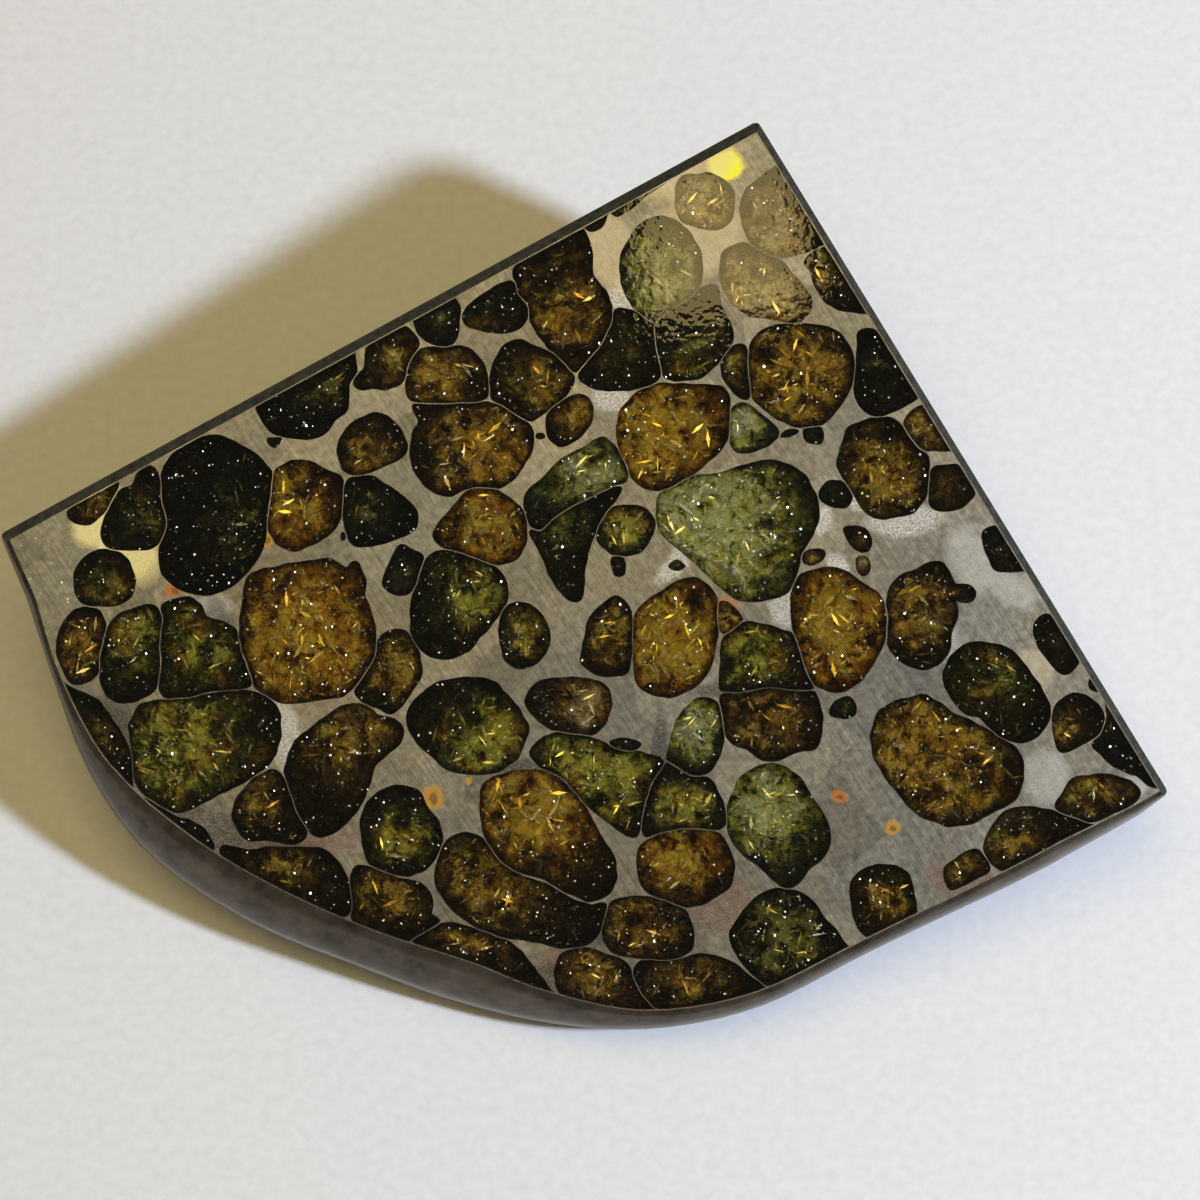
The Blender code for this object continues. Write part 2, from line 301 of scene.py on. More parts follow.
     "238,688 215,689 190,695 166,697 160,688 164,665 162,640 165,620"),
    ("green", (108, 590, 18, 0.40), "76,568 87,556 100,551 117,552 128,562 134,578 132,592 124,601 110,605 "
     "91,605 80,600 75,586"),
    ("brown", (78, 650, 24, 0.85), "59,628 71,612 85,609 98,610 105,624 104,640 100,656 98,671 90,680 75,684 "
     "64,670 57,650"),
    ("brown", (100, 740, 22, 0.25), "52,682 78,693 98,702 106,714 117,729 124,742 130,756 131,776 128,796 "
     "105,778 84,755 66,720"),
    ("black", (160, 812, 12, 0.20), "130,790 150,802 165,811 178,818 192,822 205,830 214,848 200,856 180,846 "
     "155,822 136,806"),
    ("brown", (280, 865, 30, 0.35), "222,846 245,852 270,849 300,850 322,850 336,862 346,880 352,908 338,918 "
     "312,916 280,899 248,886 226,866"),
    ("brown", (385, 890, 30, 0.55), "354,868 372,868 400,880 420,884 432,900 428,915 440,922 425,932 412,938 "
     "398,944 370,934 354,922 352,895"),
    ("amber", (300, 640, 60, 0.80), "250,575 270,570 292,565 312,562 329,560 347,570 356,562 364,581 364,597 "
     "374,627 374,652 366,671 353,687 340,695 318,698 292,702 272,698 258,688 246,670 240,652 241,628 244,600"),
    ("brown", (395, 665, 26, 0.80), "356,690 365,674 376,658 379,640 390,632 403,631 412,642 419,656 420,673 "
     "412,689 403,703 391,713 378,706 366,704"),
    ("green", (480, 595, 30, 0.75), "419,578 426,561 438,552 452,551 474,559 490,566 503,577 507,594 503,607 "
     "492,622 479,636 468,650 451,657 434,656 421,648 413,634 412,615 414,596"),
    ("black", (402, 575, 14, 0.25), "390,562 401,544 412,550 424,557 420,574 415,588 404,595 391,593 382,585 "
     "386,573"),
    ("brown", (368, 455, 20, 0.75), "339,450 344,433 356,421 372,415 386,416 397,428 406,443 405,454 388,463 "
     "371,471 356,475 343,469"),
    ("black", (360, 510, 22, 0.30), "345,485 356,477 372,478 390,489 405,500 416,511 416,525 405,535 386,541 "
     "366,545 353,544 347,530 344,508"),
    ("black", (344, 536, 3, 0.20), "341,533 345,531 346,539 342,541"),
    ("amber", (490, 520, 34, 0.90), "434,533 444,520 456,506 466,494 476,489 492,490 507,498 520,509 525,522 "
     "525,539 516,558 499,563 485,561 470,555 452,549 440,544"),
    ("lime", (588, 470, 30, 0.9), "525,505 530,491 541,482 552,471 564,459 580,452 592,444 604,438 617,452 "
     "626,466 626,479 610,486 590,496 570,506 552,518 540,530 532,525"),
    ("green", (560, 525, 20, 0.45), "530,530 541,533 553,521 571,509 591,499 611,489 622,487 612,502 602,517 "
     "591,539 584,562 582,585 579,601 570,599 559,588 550,571 542,553"),
    ("green", (532, 632, 20, 0.65), "504,609 518,603 531,606 542,617 549,632 546,650 536,663 520,667 507,662 "
     "502,648 500,630"),
    ("tan", (590, 705, 22, 0.80), "526,702 532,689 547,681 572,679 592,681 607,689 610,706 605,722 593,733 "
     "570,733 551,727 538,718"),
    ("green", (485, 745, 32, 1.2), "409,711 420,697 438,684 456,680 476,679 493,683 507,697 520,713 527,729 "
     "523,743 516,757 499,769 477,773 452,770 437,759 420,744 409,727"),
    ("amber", (660, 432, 42, 1.7), "618,430 621,414 630,401 643,390 659,385 680,385 700,387 719,387 727,396 "
     "729,415 727,438 716,452 704,463 689,476 674,487 658,489 643,486 632,476 625,462 620,447"),
    ("lime", (740, 420, 18, 1.4), "731,413 738,405 744,403 755,411 768,420 779,434 771,443 755,451 738,452 "
     "731,445"),
    ("brown", (795, 370, 52, 0.85), "750,348 758,336 771,328 788,325 819,327 836,332 847,345 853,364 850,386 "
     "840,403 826,420 813,427 797,425 780,418 765,408 753,396 750,372"),
    ("brown", (735, 365, 14, 0.45), "722,361 730,348 741,344 748,350 748,372 751,396 745,400 733,391 723,377"),
    ("lime", (700, 535, 56, 1.9), "659,521 658,505 663,493 674,486 684,480 700,477 721,475 743,467 767,462 "
     "787,465 803,475 811,488 817,503 817,519 812,533 800,552 796,573 790,588 775,596 754,600 737,598 723,587 "
     "702,567 677,546 663,533"),
    ("brown", (812, 557, 8, 0.40), "803,552 815,548 826,552 822,562 810,566 803,562"),
    ("green", (677, 566, 8, 0.60), "667,567 676,559 687,566 678,572"),
    ("amber", (728, 618, 14, 1.00), "717,602 728,603 738,612 743,620 735,630 722,634 716,622"),
)
print(len(GRAINS), "grains on the polished face")

# %% [markdown]
# ## From a few points to a crystal's outline
#
# Olivine grains in a pallasite are rounded, because molten metal ate at their corners. A closed curve through
# the drawn points gives that roundness. Neighbours touch in places, but a film of metal nearly always runs
# between them, so wherever two outlines come closer than that film is thick, each gives way by half. The same
# pushing keeps every grain inside the face, behind the bevelled edges.

# %% Smooth the outlines
POINT_SPACING = 0.32
CORNER_SOFTNESS = 0.6
CHIP_HEIGHT = 0.16
METAL_FILM = 0.045
DRAWING_GROWTH = 0.26
GROWTH_PER_WIDTH = 0.04
EDGE_RIM = 0.12
BEVEL_LEFT = 1.0
BEVEL_RIGHT = 0.7
PUSH_ROUNDS = 22


def closed_curve(points, spacing):
    """A Catmull-Rom curve through a ring of points, cut into even steps."""
    ring = np.array(points, dtype=float)
    steps = np.linspace(0.0, 1.0, 12, endpoint=False)[:, None]
    before, start, end, after = ring, np.roll(ring, -1, 0), np.roll(ring, -2, 0), np.roll(ring, -3, 0)
    dense = []
    for a, b, c, d in zip(before, start, end, after):
        dense.append(0.5 * (2.0 * b + (c - a) * steps + (2.0 * a - 5.0 * b + 4.0 * c - d) * steps**2
                            + (3.0 * b - a - 3.0 * c + d) * steps**3))
    dense = np.concatenate(dense)
    straight = np.concatenate([b + (c - b) * steps for b, c in zip(start, end)])
    dense = CORNER_SOFTNESS * dense + (1.0 - CORNER_SOFTNESS) * straight
    gaps = np.linalg.norm(np.roll(dense, -1, 0) - dense, axis=1)
    along = np.concatenate([[0.0], np.cumsum(gaps)])
    count = max(8, int(along[-1] / spacing))
    where = np.linspace(0.0, along[-1], count, endpoint=False)
    closed = np.vstack([dense, dense[:1]])
    return np.column_stack([np.interp(where, along, closed[:, axis]) for axis in range(2)])


def area_of(ring):
    """The signed area of a ring of points, positive where it runs anticlockwise."""
    after = np.roll(ring, -1, 0)
    return 0.5 * float(np.sum(ring[:, 0] * after[:, 1] - after[:, 0] * ring[:, 1]))


def grown(ring, distance):
    """The ring moved outwards by a distance."""
    along = np.roll(ring, -1, 0) - np.roll(ring, 1, 0)
    along /= np.maximum(np.linalg.norm(along, axis=1), 1e-9)[:, None]
    return ring + np.column_stack([along[:, 1], -along[:, 0]]) * distance


def distance_to(ring, points):
    """How far points are from a ring, less than zero inside it, and the nearest place on it."""
    start, end = ring, np.roll(ring, -1, 0)
    edge = end - start
    length = np.maximum(np.sum(edge**2, axis=1), 1e-12)
    offset = points[:, None, :] - start[None]
    step = np.clip(np.sum(offset * edge[None], axis=2) / length[None], 0.0, 1.0)
    nearest = start[None] + step[..., None] * edge[None]
    gap = np.linalg.norm(points[:, None, :] - nearest, axis=2)
    best = np.argmin(gap, axis=1)
    rows = np.arange(len(points))
    straddles = (start[None, :, 1] > points[:, None, 1]) != (end[None, :, 1] > points[:, None, 1])
    slope = edge[None, :, 0] / np.where(edge[None, :, 1] == 0.0, 1e-12, edge[None, :, 1])
    crossing = start[None, :, 0] + (points[:, None, 1] - start[None, :, 1]) * slope
    inside = np.sum(straddles & (points[:, None, 0] < crossing), axis=1) % 2 == 1
    return np.where(inside, -gap[rows, best], gap[rows, best]), nearest[rows, best]


def keep_in_face(ring, face_ring, limits):
    """Moves points of a ring back inside a side's outline and its straight limits."""
    gap, nearest = distance_to(face_ring, ring)
    outside = gap > -EDGE_RIM
    inward = (ring - nearest) * np.where(gap < 0.0, 1.0, -1.0)[:, None]
    size = np.maximum(np.linalg.norm(inward, axis=1), 1e-6)[:, None]
    ring = np.where(outside[:, None], nearest + inward / size * EDGE_RIM, ring)
    for direction, reach in limits:
        ring = ring - np.maximum(ring @ direction - reach, 0.0)[:, None] * direction
    return ring


def part_outlines(rings, face_ring, limits, rounds=PUSH_ROUNDS, film=METAL_FILM):
    """Pushes overlapping outlines apart until a film of metal fits between them."""
    rings = [ring.copy() for ring in rings]
    for round_number in range(rounds):
        low = [ring.min(0) - film for ring in rings]
        high = [ring.max(0) + film for ring in rings]
        moves = [np.zeros_like(ring) for ring in rings]
        for i, ring in enumerate(rings):
            for j, other in enumerate(rings):
                if i == j or (low[i] > high[j]).any() or (low[j] > high[i]).any():
                    continue
                near = ((ring > low[j]) & (ring < high[j])).all(axis=1)
                if not near.any():
                    continue
                gap, nearest = distance_to(other, ring[near])
                away = (ring[near] - nearest) * np.where(gap < 0.0, -1.0, 1.0)[:, None]
                away /= np.maximum(np.linalg.norm(away, axis=1), 1e-6)[:, None]
                need = np.maximum(film - gap, 0.0)
                moves[i][near] += away * (0.55 * need)[:, None]
        for i, move in enumerate(moves):
            moved = keep_in_face(rings[i] + move, face_ring, limits)
            smooth = 0.5 * moved + 0.25 * (np.roll(moved, 1, 0) + np.roll(moved, -1, 0))
            blend = 0.07 if round_number < rounds - 3 else 0.0
            rings[i] = moved + blend * (smooth - moved)
    return rings


# %% The three flat sides, and the grains drawn on the face
class Plane:
    """A flat side of the stone: where its middle is, and which ways are across, up and out of it."""

    def __init__(self, origin, across, up, out):
        self.origin, self.across, self.up, self.out = origin, across, up, out

    def at(self, u, v, w=0.0):
        return self.origin + (self.across * u + self.up * v + self.out * w) * MM

    def flat(self, point):
        offset = (point - self.origin) / MM
        return np.array((offset.dot(self.across), offset.dot(self.up)))


def side_plane(start, end, out):
    """The plane of a sawn side, with its zero halfway along the face's corner line."""
    across = LEAN @ FACE_NORMAL.cross(out)
    return Plane(to_world(*((start + end) / 2.0).to_2d()), across, (LEAN @ out).cross(across), LEAN @ out)


FACE_PLANE = Plane(FACE_ORIGIN, LEAN @ Vector((1, 0, 0)), LEAN @ Vector((0, 1, 0)), LEAN @ FACE_NORMAL)
LEFT_PLANE = side_plane(LEFT_CORNER, TOP_CORNER, UPPER_LEFT)
RIGHT_PLANE = side_plane(TOP_CORNER, RIGHT_CORNER, UPPER_RIGHT)


def flat_faces(mesh, normal):
    """The faces of one sawn plane."""
    direction = LEAN @ normal
    reach = flat_reach(mesh, direction)
    return [face for face in mesh.faces if face.normal.dot(direction) > FLAT_COSINE
            and abs(face.calc_center_median().dot(direction) - reach) < FLAT_TOLERANCE]


def ring_of(faces, plane):
    """The outer boundary of some joined faces, as points of a flat side."""
    chosen = set(faces)
    step = {}
    for face in faces:
        for loop in face.loops:
            if sum(other in chosen for other in loop.edge.link_faces) == 1:
                step[loop.vert] = loop.link_loop_next.vert
    ring, vert = [], next(iter(step))
    for _ in range(len(step)):
        ring.append(plane.flat(vert.co))
        vert = step[vert]
    return np.array(ring)


face_ring = ring_of(flat_faces(stone_copy, FACE_NORMAL), FACE_PLANE)
print("points round the flat face:", len(face_ring), "area in mm2:", round(abs(area_of(face_ring)), 1))


def chipped(ring, seed):
    """Roughens a ring with small notches and bumps, as crystals break along their cracks."""
    rough = [CHIP_HEIGHT * (noise.noise(Vector((u / 1.1, v / 1.1, seed))) + 0.5
                            * noise.noise(Vector((u / 0.45, v / 0.45, seed + 5.0)))) for u, v in ring]
    return grown(ring, np.array(rough)[:, None])


def draw_grain(text):
    drawn = [tuple(float(x) for x in pair.split(",")) for pair in text.split()]
    ring = closed_curve([from_sheet(x, y) for x, y in drawn], POINT_SPACING)
    ring = ring if area_of(ring) > 0.0 else ring[::-1]
    ring = grown(ring, min(DRAWING_GROWTH, GROWTH_PER_WIDTH * math.sqrt(area_of(ring))))
    return chipped(ring, float(len(text)))


grain_kinds = [kind for kind, glow, outline in GRAINS]
grain_glows = [glow for kind, glow, outline in GRAINS]
BEVEL_CLEARANCE = 0.1
face_limits = [(np.array(normal.to_2d()), TOP_CORNER.dot(normal) - width - BEVEL_CLEARANCE)
               for normal, width in ((UPPER_LEFT, BEVEL_LEFT), (UPPER_RIGHT, BEVEL_RIGHT))]
grain_rings = part_outlines([draw_grain(outline) for kind, glow, outline in GRAINS], face_ring, face_limits)
grain_areas = [area_of(ring) for ring in grain_rings]
print("olivine covers", round(100.0 * sum(grain_areas) / abs(area_of(face_ring))), "% of the face")

# %% [markdown]
# ## Grains on the two sawn sides
#
# The saw went through the same kind of crystals at the sides, which the photograph does not show. These are
# packed by rule: large grains first, then smaller ones into the gaps, each a wobbly ring, and the same pushing
# as on the face gives them their film of metal. Their pockets are shallow.

# %% Pack grains on the sides
SIDE_SIZES = ((6.0, 16), (4.6, 30), (3.2, 50), (2.2, 80), (1.3, 110), (0.7, 60))
SIDE_DEPTH = 0.8
SIDE_SHARES = (("brown", 0.36), ("green", 0.26), ("black", 0.16), ("amber", 0.14), ("tan", 0.08))
RING_CORNERS = 11
BEVEL_CLEARANCE_SIDE = 0.25


def packed_rings(outline, maker, limits):
    """Wobbly rings of falling size that fill an outline."""
    low, high = outline.min(0), outline.max(0)
    placed, rings = [], []
    turns = np.linspace(0.0, 2.0 * math.pi, RING_CORNERS, endpoint=False)
    for size, tries in SIDE_SIZES:
        for _ in range(tries):
            radius = size * maker.uniform(0.75, 1.1)
            centre = maker.uniform(low, high)
            gap, nearest = distance_to(outline, centre[None])
            past = max([float(centre @ direction) - reach for direction, reach in limits])
            if gap[0] > -0.6 * radius or past > -0.6 * radius:
                continue
            if any(math.dist(centre, other) < 0.88 * (radius + far) for other, far in placed):
                continue
            placed.append((centre, radius))
            reach = radius * maker.uniform(0.82, 1.12, RING_CORNERS)[:, None]
            rings.append(closed_curve(centre + np.column_stack([np.cos(turns), np.sin(turns)]) * reach,
                                      POINT_SPACING))
    return part_outlines(rings, outline, limits, rounds=12)


class Side:
    """A sawn side with its grains: outlines, kinds, areas and where each is lit."""

    def __init__(self, normal, plane, bevel, seed):
        self.plane = plane
        maker = np.random.default_rng(seed)
        outline = ring_of(flat_faces(stone_copy, normal), plane)
        limits = [(np.array((0.0, 1.0)), -bevel - BEVEL_CLEARANCE_SIDE)]
        self.rings = packed_rings(outline, maker, limits)
        self.areas = [area_of(ring) for ring in self.rings]
        names, shares = zip(*SIDE_SHARES)
        self.kinds = list(maker.choice(names, len(self.rings), p=shares))
        self.glows = [(tuple(ring.mean(0) + maker.uniform(-1.0, 1.0, 2)), 0.45 * math.sqrt(area),
                       maker.uniform(0.25, 0.8)) for ring, area in zip(self.rings, self.areas)]


sides = (Side(UPPER_LEFT, LEFT_PLANE, BEVEL_LEFT, 31), Side(UPPER_RIGHT, RIGHT_PLANE, BEVEL_RIGHT, 47))
print("grains on the sides:", [len(side.rings) for side in sides])

# %% [markdown]
# ## The metal body
#
# The metal is one solid, as on the real stone. The two sawn edges of the face carry a wide bevel, which a plane
# at 45 degrees cuts off. Each grain then gets a pocket: its outline is drawn down into the metal and taken away
# with one Boolean. Real grains go right through, but the eye sees only a few millimetres into them, so a pocket
# is as deep as that.

# %% Bevel the sawn edges of a copy of the CAD solid
FACE_METAL, SAWN_METAL, SKIN, EDGE_BAND, POCKET_WALL = range(5)
DEPTH_PER_WIDTH = 0.42
SHALLOWEST, DEEPEST = 0.5, 3.4
SHARP_ANGLE = math.radians(35.0)


def cut_off(mesh, point, outward, finish):
    """Cuts off what lies beyond a plane and closes the cut with one flat face of that finish."""
    whole = mesh.verts[:] + mesh.edges[:] + mesh.faces[:]
    bmesh.ops.bisect_plane(mesh, geom=whole, plane_co=point, plane_no=outward, clear_outer=True)
    rim = [edge for edge in mesh.edges if edge.is_boundary]
    for face in bmesh.ops.contextual_create(mesh, geom=rim)["faces"]:
        face.material_index = finish


def bevelled_stone():
    mesh = merged_copy(stone_node)
    for face in mesh.faces:
        face.material_index = SKIN
    for normal, finish in ((FACE_NORMAL, FACE_METAL), (UPPER_LEFT, SAWN_METAL), (UPPER_RIGHT, SAWN_METAL)):
        flat = flat_faces(mesh, normal)
        for face in flat:
            face.material_index = finish
        bmesh.ops.dissolve_faces(mesh, faces=flat)
    for normal, width in ((UPPER_LEFT, BEVEL_LEFT), (UPPER_RIGHT, BEVEL_RIGHT)):
        outward = (LEAN @ (normal + FACE_NORMAL)).normalized()
        corner = to_world(*TOP_CORNER.to_2d()) - outward * (width / math.sqrt(2.0)) * MM
        cut_off(mesh, corner, outward, EDGE_BAND)
    bmesh.ops.recalc_face_normals(mesh, faces=mesh.faces)
    return mesh


stone_mesh = bevelled_stone()
print("open edges:", sum(edge.is_boundary for edge in stone_mesh.edges), "faces:", len(stone_mesh.faces))


# %% Cut a pocket for every grain
def pocket_depth(area):
    return min(DEEPEST, max(SHALLOWEST, DEPTH_PER_WIDTH * math.sqrt(area)))


def add_prism(mesh, ring, plane, top, bottom, finish=0):
    """A closed prism on an outline, between two heights above a side of the stone."""
    upper = [mesh.verts.new(plane.at(u, v, top)) for u, v in ring]
    lower = [mesh.verts.new(plane.at(u, v, bottom)) for u, v in ring]
    faces = [mesh.faces.new(upper), mesh.faces.new(lower[::-1])]
    for i in range(len(ring)):
        j = (i + 1) % len(ring)
        faces.append(mesh.faces.new((upper[i], lower[i], lower[j], upper[j])))
    for face in faces:
        face.material_index = finish
        face.smooth = len(face.verts) == 4


def new_object(name, mesh, materials=()):
    """A plain object from a bmesh, linked to the scene, with its finishes in order."""
    data = bpy.data.meshes.new(name)
    mesh.to_mesh(data)
    mesh.free()
    piece = bpy.data.objects.new(name, data)
    bpy.context.scene.collection.objects.link(piece)
    for material in materials:
        data.materials.append(material)
    return piece


def as_plain_mesh(piece):
    """Turns an object's modifiers into its own mesh."""
    bpy.context.view_layer.update()
    evaluated = piece.evaluated_get(bpy.context.evaluated_depsgraph_get())
    data = bpy.data.meshes.new_from_object(evaluated)
    piece.modifiers.clear()
    piece.data = data
    return data


def finishes(count):
    """Placeholder materials, so that faces keep their finish through a Boolean."""
    return [bpy.data.materials.new("finish_%d" % index) for index in range(count)]


CUT_CLEARANCE = 0.4


POCKETS_AT_ONCE = 12
NUDGES = (0.0, -0.02, 0.015, -0.05)


def cut_once(body, pockets, nudge=0.0):
    """Takes some pockets out of the body, and says whether the result is whole."""
    cutter_mesh = bmesh.new()
    for ring, plane, depth in pockets:
        add_prism(cutter_mesh, grown(ring, nudge), plane, CUT_CLEARANCE, -depth, POCKET_WALL)
    cutter = new_object("cutter", cutter_mesh, body.data.materials[:])
    boolean = body.modifiers.new("pockets", "BOOLEAN")
    boolean.operation = "DIFFERENCE"
    boolean.solver = "EXACT"
    boolean.material_mode = "INDEX"
    boolean.object = cutter
    before = body.data
    after = as_plain_mesh(body)
    bpy.data.objects.remove(cutter)
    whole = len(after.polygons) > len(before.polygons)
    if not whole:
        body.data = before
    bpy.data.meshes.remove(after if not whole else before)
    return whole


def cut_pockets(body, pockets):
    """Cuts the pockets a few at a time, and one by one, slightly nudged, where a group fails."""
    missed = 0
    for start in range(0, len(pockets), POCKETS_AT_ONCE):
        group = pockets[start:start + POCKETS_AT_ONCE]
        if not cut_once(body, group):
            missed += sum(not any(cut_once(body, [pocket], nudge) for nudge in NUDGES) for pocket in group)
    return missed


metal_body = new_object("metal_body", stone_mesh, finishes(5))
pockets = [(ring, FACE_PLANE, pocket_depth(area)) for ring, area in zip(grain_rings, grain_areas)]
for side in sides:
    pockets += [(ring, side.plane, min(SIDE_DEPTH, pocket_depth(area)))
                for ring, area in zip(side.rings, side.areas)]
print("pockets that could not be cut:", cut_pockets(metal_body, pockets))
metal_body.data.shade_smooth()
metal_body.data.set_sharp_from_angle(angle=SHARP_ANGLE)
for face in metal_body.data.polygons:
    face.use_smooth = face.material_index in (SKIN, POCKET_WALL)
print("metal body faces:", len(metal_body.data.polygons))

# %% [markdown]
# ## The inside of the crystals
#
# A crystal of olivine is clear, but it is full of healed cracks and clouded zones, and the eye sees those some
# way below the polish. Each pocket gets a rough bed at that depth: a sheet of small flat facets, tilted at
# random like broken glass, that carries the colour. Every point also keeps how strongly its grain is lit there,
# which is painted light: the bed's colour is painted bright at the heart that the table gives, and painted
# dark towards the rim, as painted shade.

# %% Lay a bed of facets in every pocket
FACET_SIZE = 0.34
FACET_TILT = 0.10
LUMP_HEIGHT = 0.30
LUMP_SIZE = 1.7
BED_OVERLAP = 0.03
RIM_SHADE = 0.9
FAMILIES = ("black", "brown", "amber", "green", "lime", "tan")
# Dark, body and bright colour of each kind; the ramp between them is painted light, from painted shade to glow.
BED_COLOURS = {
    "black": ((0.006, 0.008, 0.004), (0.055, 0.058, 0.020), (0.70, 0.60, 0.16)),
    "brown": ((0.012, 0.009, 0.003), (0.27, 0.155, 0.026), (1.00, 0.72, 0.14)),
    "amber": ((0.020, 0.013, 0.003), (0.72, 0.35, 0.020), (1.00, 0.84, 0.18)),
    "green": ((0.008, 0.012, 0.004), (0.19, 0.185, 0.030), (1.00, 0.92, 0.24)),
    "lime": ((0.014, 0.024, 0.010), (0.76, 0.74, 0.13), (1.00, 1.00, 0.66)),
    "tan": ((0.035, 0.024, 0.010), (0.50, 0.33, 0.12), (1.00, 0.84, 0.42)),
}


def points_inside(ring, spacing, margin, maker):
    """Points on a jittered triangular grid inside a ring, no nearer to it than the margin."""
    low, high = ring.min(0), ring.max(0)
    rows = np.arange(low[1], high[1], spacing * math.sqrt(0.75))
    grid = [np.column_stack([np.arange(low[0] + (i % 2) * spacing / 2, high[0], spacing),
                             np.full(len(np.arange(low[0] + (i % 2) * spacing / 2, high[0], spacing)), y)])
            for i, y in enumerate(rows)]
    points = np.concatenate(grid)
    points += maker.uniform(-0.3, 0.3, points.shape) * spacing
    gap, nearest = distance_to(ring, points)
    return points[gap < -margin], -gap[gap < -margin]


class BedMesh:
    """Collects the beds of all grains into one mesh, with its point and face values."""

    def __init__(self):
        self.points, self.faces, self.finish = [], [], []
        self.lit, self.chance, self.depth, self.room = [], [], [], []
        self.outward, self.glint, self.turn = [], [], []

    def add(self, ring, plane, depth, family, glow, seed):
        maker = np.random.default_rng(seed)
        inner, inset = points_inside(ring, FACET_SIZE, 0.4 * FACET_SIZE, maker)
        rim = grown(ring, BED_OVERLAP)
        flat = np.vstack([rim, inner])
        count = len(rim)
        edges = [(i, (i + 1) % count) for i in range(count)]
        made = geometry.delaunay_2d_cdt([Vector(point) for point in flat], edges, [], 1, 1e-5)
        flat = np.array([point[:] for point in made[0]])
        gap, nearest = distance_to(ring, flat)
        inset = np.maximum(-gap, 0.0)
        first = len(self.points)
        centre, radius, strength = glow
        for (u, v), room in zip(flat, inset):
            broad = noise.noise(Vector((u / LUMP_SIZE, v / LUMP_SIZE, seed * 3.7)))
            fine = noise.noise(Vector((u / 0.6, v / 0.6, seed * 1.3 + 9.0)))
            height = -depth * 0.62 + LUMP_HEIGHT * depth * broad + 0.12 * fine
            height += maker.uniform(-1.0, 1.0) * FACET_TILT
            height = max(-depth * 0.97, min(-0.16, height))
            away = math.hypot(u - centre[0], v - centre[1]) / radius
            # Painted light and shade: the colour is painted bright round the heart and painted dark near the
            # pocket's rim.
            heart = 1.35 * strength * math.exp(-away * away) * (0.9 + 1.3 * broad + 0.5 * fine)
            edge = 1.0 - RIM_SHADE * math.exp(-((room / (0.55 + 0.5 * broad)) ** 2))
            self.points.append(plane.at(u, v, height))
            self.lit.append(max(0.0, heart) * edge)
            self.depth.append(-height * MM)
            self.room.append(room * MM)
        top = [tuple(first + i for i in face) for face in made[2]]
        low = len(self.points)
        outline = [i for i in range(len(flat)) if i < count]
        for i in outline:
            self.points.append(plane.at(flat[i][0], flat[i][1], -depth * 0.99 - 0.02))
            self.lit.append(0.0)
            self.depth.append(depth * MM)
            self.room.append(0.0)
        new_points = len(self.points) - first
        self.outward += [tuple(plane.out)] * new_points
        self.glint += [(*BED_COLOURS[family][2], 1.0)] * new_points
        self.turn += [maker.uniform(0.0, math.pi)] * new_points
        walls = [(first + i, low + i, low + (i + 1) % count, first + (i + 1) % count) for i in outline]
        floor = [tuple(low + i for i in reversed(outline))]
        number = FAMILIES.index(family)
        for face in top + walls + floor:
            self.faces.append(face)
            self.finish.append(number)
            self.chance.append(maker.uniform())

    def finished(self, name, materials):
        data = bpy.data.meshes.new(name)
        data.from_pydata(self.points, [], self.faces)
        for material in materials:
            data.materials.append(material)
        data.polygons.foreach_set("material_index", self.finish)
        for key, values, domain in (("lit", self.lit, "POINT"), ("depth", self.depth, "POINT"),
                                    ("room", self.room, "POINT"), ("turn", self.turn, "POINT"),
                                    ("chance", self.chance, "FACE")):
            data.attributes.new(key, "FLOAT", domain).data.foreach_set("value", values)
        outward = data.attributes.new("outward", "FLOAT_VECTOR", "POINT")
        outward.data.foreach_set("vector", np.array(self.outward).ravel())
        glint = data.attributes.new("glint", "FLOAT_COLOR", "POINT")
        glint.data.foreach_set("color", np.array(self.glint).ravel())
        mesh = bmesh.new()
        mesh.from_mesh(data)
        bmesh.ops.recalc_face_normals(mesh, faces=mesh.faces)
        mesh.to_mesh(data)
        mesh.free()
        piece = bpy.data.objects.new(name, data)
        bpy.context.scene.collection.objects.link(piece)
        return piece


def glow_on_face(glow):
    """A row's light, from the sheet's tenths of a millimetre to the face's frame."""
    x, y, radius, strength = glow
    return from_sheet(x, y), radius / 10.0, strength


beds = BedMesh()
for number, (kind, glow, ring, area) in enumerate(zip(grain_kinds, grain_glows, grain_rings, grain_areas)):
    beds.add(ring, FACE_PLANE, pocket_depth(area), kind, glow_on_face(glow), number + 1)
for side in sides:
    for number, (kind, glow, ring, area) in enumerate(zip(side.kinds, side.glows, side.rings, side.areas)):
        beds.add(ring, side.plane, min(SIDE_DEPTH, pocket_depth(area)), kind, glow, 200 + number)
print("bed faces:", len(beds.faces))

# %% [markdown]
# ## The olivine itself
#
# Over each bed sits the crystal: a clear body that fills its pocket up to the polished face. It bends light as
# olivine does, and the colour it takes from the light grows with depth. Each kind of olivine in the plan has its
# own absorption. Very fine waves in the surface and a trace of roughness are what polishing leaves.

# %% Clear olivine in six shades
OLIVINE_IOR = 1.67
OLIVINE_ROUGHNESS = 0.02
POLISH_DROP = 0.015
GLASS_OVERLAP = 0.03
ABSORPTION = {
    "black": ((0.55, 0.60, 0.20), 260.0),
    "brown": ((0.95, 0.80, 0.15), 260.0),
    "amber": ((0.99, 0.85, 0.08), 260.0),
    "green": ((0.84, 0.86, 0.15), 240.0),
    "lime": ((0.95, 0.96, 0.34), 140.0),
    "tan": ((0.98, 0.86, 0.50), 200.0),
}


